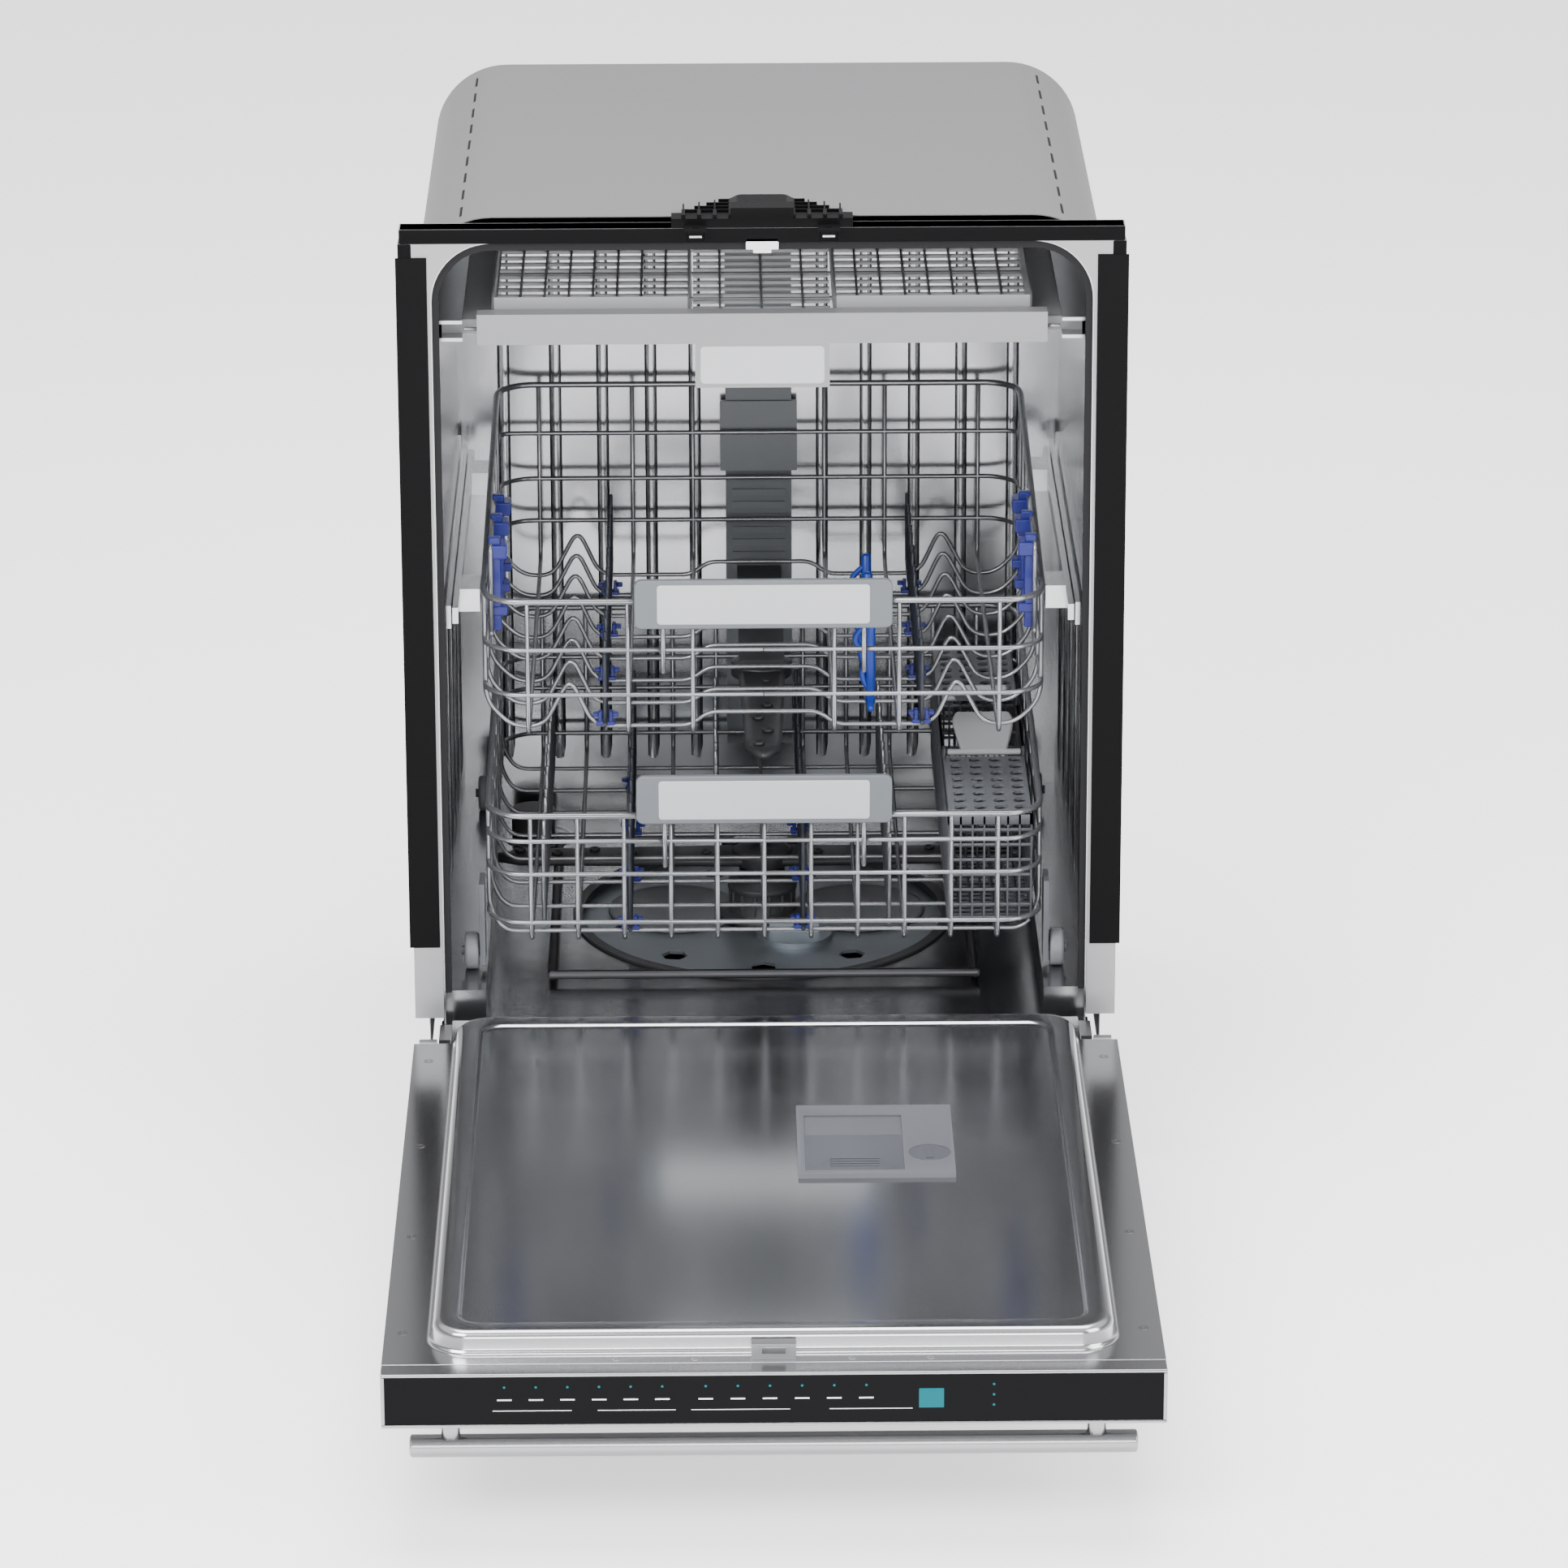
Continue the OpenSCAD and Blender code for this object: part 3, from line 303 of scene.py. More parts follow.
def tube(bm, pts, r, sides):
    """A closed round tube along points, with narrowed ends."""
    t0 = (pts[1] - pts[0]).normalized()
    u = t0.orthogonal().normalized()
    rows = []
    last = t0
    for i, p in enumerate(pts):
        if i == 0:
            t = t0
        elif i == len(pts) - 1:
            t = (pts[-1] - pts[-2]).normalized()
        else:
            t = ((pts[i + 1] - p).normalized() + (p - pts[i - 1]).normalized()).normalized()
        u = last.rotation_difference(t) @ u
        u = (u - t * u.dot(t)).normalized()
        last = t
        v = t.cross(u)
        if i == 0:
            rows.append((p, 0.55 * r, u, v))
            p = p + t * (0.35 * r)
        if i == len(pts) - 1:
            rows.append((p - t * (0.35 * r), r, u, v))
            rows.append((p, 0.55 * r, u, v))
        else:
            rows.append((p, r, u, v))
    add_loft(bm, [ring_points(c, a, b, q, q, sides) for c, q, a, b in rows])


def dress(node, mat, bevel):
    """A CAD node that stays gets its own finish and softened edges."""
    ob = nodes[node]
    for i in range(len(ob.data.materials)):
        ob.data.materials[i] = M[mat]
    if not ob.data.materials:
        ob.data.materials.append(M[mat])
    if bevel:
        soften(ob, bevel)


def bx(node):
    """A CAD node's box as x0, x1, y0, y1, z0, z1."""
    lo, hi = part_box(node)
    return lo[0], hi[0], lo[1], hi[1], lo[2], hi[2]


# ---- CAD nodes that stay visible ----
for name, mat, width in (
        ("base_pan", "zinc", 0.0008), ("feet", "foot", 0.001), ("tub_shell", "tub", 0.0),
        ("front_collar", "frame", 0.0008), ("side_strips", "black", 0.0003),
        ("door_gasket", "gasket", 0.0018), ("latch_bridge", "black", 0.0006),
        ("hinge_brackets", "zinc", 0.0008), ("toe_kick", "black", 0.0004),
        ("sump_housing", "sump", 0.0005), ("filter_plate", "mesh", 0.0004),
        ("pumps", "pump", 0.0015), ("inlet_valve", "valve", 0.0012),
        ("terminal_box", "zinc", 0.0006), ("supply_duct", "duct", 0.0012),
        ("fixed_rails", "rail", 0.0004), ("rail_middles", "rail", 0.0006),
        ("upper_rails", "rail", 0.0006), ("feed_tube", "arm", 0.0015),
        ("outer_panel", "skin", 0.0005), ("door_latch", "zinc", 0.0008),
        ("hinge_arms", "zinc", 0.0008), ("liner_screws", "handle", 0.0002),
        ("dispenser_body", "disp", 0.0006), ("dispenser_lid", "displid", 0.0003),
        ("rinse_cap", "displid", 0.0003), ("wheel_carriers", "carrier", 0.001),
        ("third_frame", "third", 0.002), ("coarse_filter", "mesh", 0.0006),
        ("float_cap", "sump", 0.002), ("heating_element", "heater", 0.0),
        ("top_rotor", "arm", 0.0012), ("tub_jacket", "wrap", 0.0006)):
    dress(name, mat, width)


# ---- racks ----
FY = FRONT_Y        # front plane of the cabinet; places below are measured back from it
HOOP_R = 0.0020     # wires that run across and along a rack
RING_R = 0.0022     # rings round a rack
RIM_R = 0.0029      # top rim
TINE_R = 0.0019
HOOP_FIRST = 0.067  # first cross hoop behind the front plane
HOOP_PITCH = 0.060
HOOP_COUNT = 8
TINE_FIRST, TINE_LAST, TINE_PITCH = 0.052, 0.503, 0.030
LOW_FLOOR = 0.205   # wire plane of the lower rack's floor
UP_FLOOR = 0.392    # wire plane of the upper rack's floor
FOLD_X = 0.135      # folding rows of the upper rack
hoop_y = [FY + HOOP_FIRST + HOOP_PITCH * i for i in range(HOOP_COUNT)]


def rack_wires(name, body, floor, walls, zf, levels, cross, long_x, rings_back=()):
    """Bent wires of one rack: side-side hoops, front-back hoops, and the rings round them.

    zf gives the floor plane and the rim's height at front and back; cross is the shape of a hoop.
    """
    _, x1, y0, y1, _, _ = bx(walls)
    w = x1 - 0.003
    ya, yb = y0 + 0.003, y1 - 0.003
    front, back, zb = zf["front"], zf["back"], zf["floor"]
    paths, radii = [], []
    for y in hoop_y:
        mid = [Vector((x, y, zb - 0.003 + dz)) for x, dz in cross]
        top = front + (back - front) * (y - ya) / (yb - ya)
        paths.append([Vector((-w, y, top)), Vector((-w, y, zb + 0.02))] + mid
                     + [Vector((w, y, zb + 0.02)), Vector((w, y, top))])
        radii.append(HOOP_R)
    for x in long_x:
        paths.append([Vector((x, ya, front)), Vector((x, ya, zb)), Vector((x, yb, zb)),
                      Vector((x, yb, back))])
        radii.append(HOOP_R)

    def ring(za, zc, r):
        k = 0.02
        pts = [(0, ya, za), (w - k, ya, za), (w, ya + k, za), (w, yb - k, zc), (w - k, yb, zc),
               (0, yb, zc), (k - w, yb, zc), (-w, yb - k, zc), (-w, ya + k, za), (k - w, ya, za),
               (0, ya, za)]
        paths.append([Vector(p) for p in pts])
        radii.append(r)

    ring(front, back, RIM_R)
    for z in levels:
        ring(z, z, RING_R)
    for z in rings_back:
        paths.append([Vector((-w, yb - 0.03, z)), Vector((-w, yb, z)), Vector((w, yb, z)),
                      Vector((w, yb - 0.03, z))])
        radii.append(RING_R)
    ob = wires(name, paths, radii, body, "wire", bend=0.014)
    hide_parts(floor, walls)


rack_wires("lower_rack_wires", "lower_rack", "lower_floor", "lower_walls",
           {"floor": LOW_FLOOR, "front": 0.320, "back": 0.345},
           (LOW_FLOOR + 0.018, LOW_FLOOR + 0.062, LOW_FLOOR + 0.092),
           [(-0.225, 0.0), (0.225, 0.0)],
           [-0.2, -0.16, -0.12, -0.08, -0.04, 0.0, 0.04, 0.08, 0.12, 0.16, 0.2])
# a peak under the cups each side, and a low tunnel over the middle spray arm
peaks = [(0.047, 0.012), (0.062, 0.0), (0.145, 0.0), (0.165, 0.044), (0.188, 0.0), (0.215, 0.0)]
rack_wires("upper_rack_wires", "upper_rack", "upper_floor", "upper_walls",
           {"floor": UP_FLOOR, "front": 0.512, "back": 0.558},
           (UP_FLOOR + 0.037, UP_FLOOR + 0.077),
           [(-x, dz) for x, dz in peaks[::-1]] + peaks,
           [-0.2, -0.115, -0.06, 0.06, 0.115, 0.2], (UP_FLOOR + 0.12,))


def tine_set(node, name, body, mat, rows):
    """Rows of upright tines on a foot wire each; a row is its x and how far back it starts."""
    _, _, _, _, z0, z1 = bx(node)
    foot = z0 + TINE_R
    paths = []
    for x, off in rows:
        ya = FY + TINE_FIRST + off
        n = int((FY + TINE_LAST - ya) / TINE_PITCH + 1e-6)
        paths.append([Vector((x, ya - 0.006, foot)),
                      Vector((x, ya + n * TINE_PITCH + 0.006, foot))])
        for i in range(n + 1):
            y = ya + TINE_PITCH * i
            lean = 0.004 if i % 2 else -0.004
            paths.append([Vector((x, y, foot)), Vector((x, y + lean * 0.2, z1 - 0.03)),
                          Vector((x, y + lean, z1 - 0.0003))])
    ob = wires(name, paths, TINE_R, body, mat, bend=0.01)
    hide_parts(node)


row_pitch = (0.158 + 0.240 - 0.1) / 4  # five rows between the left wall and the basket
rows_x = [0.05 - 0.240 + row_pitch * i for i in range(5)]
tine_set("lower_fixed_tines", "lower_fixed_tine_wires", "lower_rack", "wire",
         [(rows_x[i], 0.015) for i in (0, 2, 4)])
for level, side, x in (("lower", "left", rows_x[1]), ("lower", "right", rows_x[3]),
                       ("upper", "left", -FOLD_X), ("upper", "right", FOLD_X)):
    node = level + "_tines_" + side
    tine_set(node, level + "_tine_wires_" + side, node, "tine", [(x, 0)])


def clips(name, body, x_list, node):
    """Saddle clips that hold the folding rows: a foot, two cheeks and a thumb tab each side."""
    z = bx(node)[4] + TINE_R
    bm = bmesh.new()
    for x in x_list:
        for y in hoop_y[:7:2]:
            add_box(bm, x - 0.008, x + 0.008, y - 0.005, y + 0.005, z - 0.0062, z - 0.0024)
            for s in (-1, 1):
                a, b = sorted((x + s * 0.0028, x + s * 0.0062))
                add_box(bm, a, b, y - 0.004, y + 0.004, z - 0.004, z + 0.006)
                a, b = sorted((x + s * 0.006, x + s * 0.011))
                add_box(bm, a, b, y - 0.003, y + 0.003, z + 0.001, z + 0.0045)
    mesh_object(name, bm, body, "navy", bevel=0.0008)


clips("lower_row_clips", "lower_rack", (rows_x[1], rows_x[3]), "lower_tines_left")
clips("upper_row_clips", "upper_rack", (-FOLD_X, FOLD_X), "upper_tines_left")


def grip(node, name, body):
    """A handle plate with a raised pale pad, held on two upright wires."""
    x0, x1, y0, y1, z0, top = bx(node)
    low = top - 0.043
    bm = bmesh.new()
    front = y0 + 0.0008
    add_loft(bm, [face_loop(x0, x1, low, top, y, 0.006) for y in (front, front + 0.003, y1)])
    ob = mesh_object(name, bm, body, "grip", bevel=0.0012)
    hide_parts(node)
    post_x, post_y = x1 - 0.024, y1 - 0.0022
    wires(name + "_posts",
          [[Vector((s * post_x, post_y, z0)), Vector((s * post_x, post_y, low + 0.012))]
           for s in (-1, 1)], 0.0021, body, "wire")
    bm = bmesh.new()
    half = x1 - 0.019
    add_loft(bm, [face_loop(-half + i, half - i, low + 0.004 + i, top - 0.004 - i, y, 0.003)
                  for y, i in ((y0 + 0.0012, 0), (y0 + 0.0004, 0.0002), (y0, 0.0012))])
    mesh_object(name + "_pad", bm, body, "pad")


grip("lower_handle", "lower_grip", "lower_rack")
grip("upper_handle", "upper_grip", "upper_rack")


# ---- cutlery basket ----
def lattice_wall(bm, a, b, z0, z1, cols, rows, axis):
    """An upright grid of flat bars from point a to point b; axis is the thin direction."""
    t = 0.002
    (ax, ay), (ex, ey) = a, b
    hx, hy = (t / 2, 0.0009) if axis == "x" else (0.0009, t / 2)
    for i in range(cols + 1):
        f = i / cols
        x, y = ax + (ex - ax) * f, ay + (ey - ay) * f
        add_box(bm, x - hx, x + hx, y - hy, y + hy, z0, z1)
    thin = t / 2 * 0.9
    for j in range(rows + 1):
        z = z0 + (z1 - z0) * j / rows
        h = 0.0012 if 0 < j < rows else 0.003
        low, high = max(z0, z - h), min(z1, z + h)
        if axis == "x":
            add_box(bm, ax - thin, ax + thin, min(ay, ey), max(ay, ey), low, high)
        else:
            add_box(bm, min(ax, ex), max(ax, ex), ay - thin, ay + thin, low, high)


def perforated(name, body, x0, x1, y0, y1, z0, z1, nx, ny):
    """A level sheet with rows of slanted holes, closed all over."""
    hole, skew = 0.7, 0.25
    cw, ch = (x1 - x0) / nx, (y1 - y0) / ny
    bm = bmesh.new()
    for z in (z0, z1):
        for i in range(nx):
            for j in range(ny):
                cx, cy = x0 + cw * (i + 0.5), y0 + ch * (j + 0.5)
                outer, inner = [], []
                for k in range(8):
                    a = math.pi / 4 * k
                    sx, sy = math.cos(a), math.sin(a)
                    m = max(abs(sx), abs(sy))
                    outer.append(bm.verts.new((cx + cw / 2 * sx / m, cy + ch / 2 * sy / m, z)))
                    px, py = cw / 2 * hole * sx, ch / 2 * hole * sy
                    inner.append(bm.verts.new((cx + px + skew * py * cw / ch, cy + py, z)))
                for k in range(8):
                    f = (outer[k], outer[(k + 1) % 8], inner[(k + 1) % 8], inner[k])
                    bm.faces.new(f if z == z1 else f[::-1])
    bmesh.ops.remove_doubles(bm, verts=bm.verts[:], dist=0.00002)
    # walls between the two sheets, along every open edge of the upper one
    place = {}
    for v in bm.verts:
        place.setdefault((round(v.co.x, 5), round(v.co.y, 5)), {})[round(v.co.z, 6)] = v
    for e in [e for e in bm.edges
              if len(e.link_faces) == 1 and all(abs(v.co.z - z1) < 1e-6 for v in e.verts)]:
        a, b = e.verts
        c = place[(round(b.co.x, 5), round(b.co.y, 5))].get(round(z0, 6))
        d = place[(round(a.co.x, 5), round(a.co.y, 5))].get(round(z0, 6))
        if c and d:
            bm.faces.new((a, b, c, d))
    ob = mesh_object(name, bm, body, "basketlt")
    for p in ob.data.polygons:
        p.use_smooth = False
    return ob


def build_basket():
    """Three compartments of lattice walls and floor, with a rim band and posts for the lids."""
    cols_y, cols_x = 44, 7
    x0, x1, y0, y1, z0, z1 = bx("basket")
    top = z1 - 0.010
    edge = 0.001
    third = (y1 - y0) / 3
    bm = bmesh.new()
    for x in (x0 + edge, x1 - edge):
        lattice_wall(bm, (x, y0 + edge), (x, y1 - edge), z0, top, cols_y, 7, "x")
    for i in range(4):
        y = min(max(y0 + third * i, y0 + edge), y1 - edge)
        lattice_wall(bm, (x0 + edge, y), (x1 - edge, y), z0, top, cols_x, 7, "y")
    for i in range(cols_x + 1):
        x = x0 + edge + (x1 - x0 - 2 * edge) * i / cols_x
        add_box(bm, x - 0.001, x + 0.001, y0, y1, z0, z0 + 0.0022)
    for i in range(cols_y + 1):
        y = y0 + edge + (y1 - y0 - 2 * edge) * i / cols_y
        add_box(bm, x0, x1, y - 0.001, y + 0.001, z0, z0 + 0.002)
    band = 0.00256
    for a, b in ((x0, x0 + band), (x1 - band, x1)):
        add_box(bm, a, b, y0, y1, top - 0.009, top)
    for a, b in ((y0, y0 + 0.0026), (y1 - 0.0026, y1)):
        add_box(bm, x0, x1, a, b, top - 0.009, top)
    for i in (1, 2):
        yc = y0 + third * i
        for a, b in ((x0, x0 + 0.0038), (x1 - 0.0038, x1)):
            add_box(bm, a, b, yc - 0.004, yc + 0.004, top - 0.006, z1)
    ob = mesh_object("cutlery_basket", bm, "lower_rack", "basket")
    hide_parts("basket")


def build_basket_lid(end):
    """A perforated lid with a hinge rod and two edge ribs."""
    node = "basket_lid_" + end
    x0, x1, y0, y1, z0, z1 = bx(node)
    ob = perforated("cutlery_lid_" + end, node, x0 + 0.0022, x1, y0, y1, z0 + 0.0012, z1 - 0.0004, 4, 8)
    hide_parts(node)
    rod = y1 - y0 - 0.008
    bm = bmesh.new()
    add_turned(bm, (x0 + 0.002, y0 + 0.004, z0 + 0.002), (0, 1, 0),
               [(0, 0.0016), (0.001, 0.002), (rod - 0.001, 0.002), (rod, 0.0016)], 16)
    for a, b in ((x0 + 0.0022, x0 + 0.006), (x1 - 0.004, x1)):
        add_box(bm, a, b, y0 + 0.001, y1 - 0.001, z0 + 0.001, z1)
    mesh_object("cutlery_lid_rim_" + end, bm, node, "basketlt", bevel=0.0005)


def build_basket_handle(end):
    """A leaning paddle on a cross pin."""
    node = "basket_handle_" + end
    x0, x1, y0, y1, z0, z1 = bx(node)
    foot, tip = (y0 + 0.003, y1 - 0.004) if end == "front" else (y1 - 0.003, y0 + 0.004)
    across = Vector((1, 0, 0))
    along = Vector((0, tip - foot, z1 - z0)).normalized()
    normal = along.cross(across).normalized()
    outline = ((-1, 0.3), (-0.93, 1), (0.93, 1), (1, 0.3), (1, -0.3), (0.93, -1), (-0.93, -1), (-1, -0.3))
    rows = []
    for k in range(9):
        t = k / 8
        wide = 0.020 + 0.007 * math.sin(math.pi * min(1, t * 1.2) / 2) - 0.015 * max(0, t - 0.8)
        c = Vector(((x0 + x1) / 2, foot + (tip - foot) * t,
                    z0 + 0.003 + (z1 - 0.0072 - z0) * t + 0.003 * math.sin(math.pi * t)))
        rows.append([c + across * (wide * u) + normal * (0.003 * v) for u, v in outline])
    bm = bmesh.new()
    add_loft(bm, rows)
    add_turned(bm, (x0, foot, z0 + 0.003), (1, 0, 0),
               [(0, 0.0022), (0.001, 0.0028), (x1 - x0 - 0.001, 0.0028), (x1 - x0, 0.0022)], 20)
    ob = mesh_object("cutlery_handle_" + end, bm, node, "pad", bevel=0.0008)
    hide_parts(node)


build_basket()
for end in ("front", "rear"):
    build_basket_lid(end)
    build_basket_handle(end)


# ---- spray arms ----
def blade(name, node, along):
    """A tapering moulded arm with a domed top, jets along it, and a hub."""
    half, t = 0.021, 0.0112
    x0, x1, y0, y1, z0, _ = bx(node)
    z0 += 0.0005
    along = Vector(along)
    side = Vector((-along.y, along.x, 0))
    reach = x1 - 0.0005 if along.x else (y1 - y0) / 2
    c = Vector(((x0 + x1) / 2 if along.x else 0, (y0 + y1) / 2, 0))
    up = Vector((0, 0, 1))
    rows = []
    for k in range(25):
        f = -1 + 2 * k / 24
        e = abs(f)
        tip = 1 if e < 0.93 else math.sqrt(max(0.05, 1 - ((e - 0.93) / 0.072) ** 2))
        wide = half * (1 - 0.28 * e) * tip
        thick = t * (1 - 0.25 * e)
        row = []
        for a in range(16):
            g = 2 * math.pi * a / 16
            cu, sv = math.cos(g), math.sin(g)
            pu = math.copysign(abs(cu) ** 0.6, cu)
            pv = math.copysign(abs(sv) ** 0.7, sv)
            row.append(c + along * (f * reach) + side * (wide * pu) + up * (z0 + t / 2 + thick / 2 * pv))
        rows.append(row)
    bm = bmesh.new()
    add_loft(bm, rows)
    ob = mesh_object(name, bm, node, "arm")
    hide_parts(node)
    bm = bmesh.new()
    add_turned(bm, c + up * z0, up, [(0, 0.024), (0.001, 0.027), (t, 0.027), (t + 0.0015, 0.024),
                                     (t + 0.002, 0.0125), (t + 0.0005, 0.011), (t + 0.0005, 0.004)])
    for s in (-1, 1):
        for i in range(6):
            d = s * (0.05 + i * (reach - 0.07) / 5)
            off = 0.004 if i % 2 else -0.004
            add_turned(bm, c + along * d + side * off + up * (z0 + t * 0.8), up,
                       [(0, 0.0052), (t * 0.3, 0.0045), (t * 0.33, 0.0038), (t * 0.25, 0.0016)], 16)
    mesh_object(name + "_hub", bm, node, "arm")


blade("spray_arm_low", "lower_arm", (1, 0, 0))
blade("spray_arm_mid", "middle_arm", (0, 1, 0))


# ---- door ----
SCREW = [(0, 0.0046), (0.0012, 0.0044), (0.0018, 0.003), (0.00185, 0.0014), (0.001, 0.0012)]


def build_liner():
    """The door's inner pressing: a notched flange sheet with a raised rim round a recess."""
    x0, x1, y0, y1, _, z1 = bx("inner_liner")
    flange = z1 - 0.017
    notch_x, notch_y = 0.268, y1 - 0.053
    outline = [(x0, y0), (x1, y0), (x1, notch_y), (notch_x, notch_y), (notch_x, y1),
               (-notch_x, y1), (-notch_x, notch_y), (x0, notch_y)]
    bm = bmesh.new()
    add_loft(bm, [[Vector((x, y, z)) for x, y in outline] for z in (flange - 0.0012, flange)])
    ob = mesh_object("liner_flange", bm, "door", "liner", bevel=0.0004)
    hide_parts("inner_liner")
    half, near, far = 0.266, y0 + 0.017, y1 - 0.027
    # inset from the outline, height above the flange, corner radius
    steps = ((0.0005, -0.001, 0.031), (0.0, 0.0006, 0.031), (0.0015, 0.002, 0.030),
             (0.0028, 0.004, 0.029), (0.0042, 0.0115, 0.028), (0.0054, 0.0145, 0.027),
             (0.0076, 0.0164, 0.025), (0.0105, 0.017, 0.023), (0.0225, 0.0168, 0.019),
             (0.0245, 0.0162, 0.018), (0.0258, 0.0148, 0.017), (0.0275, 0.014, 0.016))
    bm = bmesh.new()
    add_loft(bm, [round_loop(-half + i, half - i, near + i, far - i, flange + z, r, 9)
                  for i, z, r in steps])
    mesh_object("liner_pressing", bm, "door", "liner")
    bm = bmesh.new()
    for x in (-0.12, -0.06, 0.06, 0.12):
        add_turned(bm, (x, y0 + 0.007, flange - 0.0005), (0, 0, 1),
                   [(0, 0.0028), (0.0006, 0.0030), (0.00062, 0.0016), (0.0001, 0.0014)], 20)
    mesh_object("liner_edge_screws", bm, "door", "zinc")


def build_panel():
    """Control strip: steel bezel, black glass, plain lights and plain marks, no lettering."""
    x0, x1, y0, y1, z0, z1 = bx("control_panel")
    edge, end = 0.0026, 0.003
    bm = bmesh.new()
    for xa, xb, za, zb in ((x0, x1, z0, z0 + edge), (x0, x1, z1 - edge, z1),
                           (x0, x0 + end, z0 + 0.0025, z1 - 0.0025),
                           (x1 - end, x1, z0 + 0.0025, z1 - 0.0025)):
        add_box(bm, xa, xb, y0, y1, za, zb)
    mesh_object("panel_bezel", bm, "door", "handle", bevel=0.0008)
    bm = bmesh.new()
    add_loft(bm, [face_loop(x0 + end + i, x1 - end - i, z0 + edge + i, z1 - edge - i, y, 0.001)
                  for y, i in ((y1, 0), (y0 + 0.0012, 0), (y0 + 0.0006, 0.0006))])
    ob = mesh_object("panel_face", bm, "door", "glass")
    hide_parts("control_panel")
    face = y0 + 0.0006
    back = face + 0.0001
    row = 0.0335
    programs = [(-0.205 + 0.024 * i, row) for i in range(6)]
    options = [(-0.052 + 0.0244 * i, row) for i in range(6)]
    states = [(0.167, row - 0.0085 * i) for i in range(3)]
    bm = bmesh.new()
    for x, z in programs + options + states:
        add_turned(bm, (x, back, z0 + z), (0, -1, 0), [(0, 0.0011), (0.00025, 0.001), (0.0003, 0.0006)], 14)
    add_loft(bm, [face_loop(0.11, 0.129, z0 + 0.0145, z0 + 0.0305, y, 0.0006)
                  for y in (back, face - 0.0003)])
    mesh_object("panel_lights", bm, "door", "led")
    bm = bmesh.new()
    for xa, xb in ((-0.214, -0.154), (-0.134, -0.075), (-0.063, 0.012), (0.042, 0.105)):
        add_box(bm, xa, xb, face - 0.0002, back, z0 + 0.0138, z0 + 0.0143)
    for x, _ in programs + options:
        add_box(bm, x - 0.0055, x + 0.0055, face - 0.0002, back, z0 + 0.0225, z0 + 0.0236)
    mesh_object("panel_marks", bm, "door", "strip")


def build_bar_handle():
    """A round bar with domed ends on two swelling posts."""
    x0, x1, y0, _, z0, z1 = bx("door_handle")
    r = 0.009
    yc, zc = y0 + r, z0 + r
    length = x1 - x0
    bm = bmesh.new()
    add_turned(bm, (x0, yc, zc), (1, 0, 0),
               [(0, 0.0055), (0.0006, 0.0078), (0.002, r), (length - 0.002, r),
                (length - 0.0006, 0.0078), (length, 0.0055)], 48)
    for s in (-1, 1):
        xc = s * (x1 - 0.032)
        add_loft(bm, [round_loop(xc - w, xc + w, yc - w * 0.85, yc + w * 0.85, z, 0.0045)
                      for z, w in ((zc, 0.0075), (zc + 0.014, 0.0072), (z1 - 0.003, 0.0085), (z1, 0.0105))])
    ob = mesh_object("bar_handle", bm, "door", "handle")
    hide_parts("door_handle")


build_liner()
build_panel()
build_bar_handle()


# ---- cabinet ----
def build_top_bar():
    """The black bar over the opening, with its fixing slots and the latch strike."""
    x0, x1, y0, y1, _, z1 = bx("front_collar")
    front = y0 - 0.0008
    bm = bmesh.new()
    add_box(bm, x0, x1, front, y1, z1 - 0.0125, z1)
    for s in (-1, 1):
        a, b = sorted((s * 0.290, s * 0.3012))
        add_box(bm, a, b, front, y1 + 0.002, z1 - 0.035, z1 - 0.0124)
    mesh_object("top_bar", bm, "cabinet", "black", bevel=0.001)
    bm = bmesh.new()
    for xc in (-0.055, 0.055):
        for a, b in ((-0.008, -0.0062), (0.0062, 0.008)):
            add_box(bm, xc + a, xc + b, front, y0 + 0.004, z1 - 0.0115, z1 - 0.0015)
        add_box(bm, xc - 0.008, xc + 0.008, front, y0 + 0.004, z1 - 0.0115, z1 - 0.0098)
        add_box(bm, xc - 0.0055, xc + 0.0055, y0 - 0.0009, y0 + 0.003, z1 - 0.0085, z1 - 0.006)
    add_box(bm, -0.0135, 0.0135, front, y0 + 0.006, z1 - 0.0185, z1 - 0.0085)
    add_box(bm, -0.0075, 0.0075, y0 - 0.0009, y0 + 0.004, z1 - 0.0215, z1 - 0.0183)
    mesh_object("latch_strike", bm, "cabinet", "strip", bevel=0.0007)


def build_bridge():
    """The ribbed lattice behind the latch, and the raised hood on it."""
    deck = 0.8503
    bm = bmesh.new()
    for i in range(-5, 6):
        add_box(bm, i * 0.013 - 0.0007, i * 0.013 + 0.0007, FY + 0.0225, FY + 0.075 - abs(i) * 0.006,
                deck, deck + 0.0042)
    for j in range(4):
        half, y = 0.066 - 0.01 * j, FY + 0.026 + 0.011 * j
        add_box(bm, -half, half, y, y + 0.0012, deck, deck + 0.0042)
    mesh_object("bridge_lattice", bm, "cabinet", "black", bevel=0.0003)
    top = bx("latch_bridge")[5] - 0.0001
    bm = bmesh.new()
    add_loft(bm, [round_loop(-w, w, FY + 0.004, FY + d, z, 0.003) for w, d, z in
                  ((0.030, 0.066, 0.8504), (0.027, 0.062, 0.8545), (0.0215, 0.050, 0.8605),
                   (0.0195, 0.046, top))])
    mesh_object("bridge_hood", bm, "cabinet", "black", bevel=0.0008)


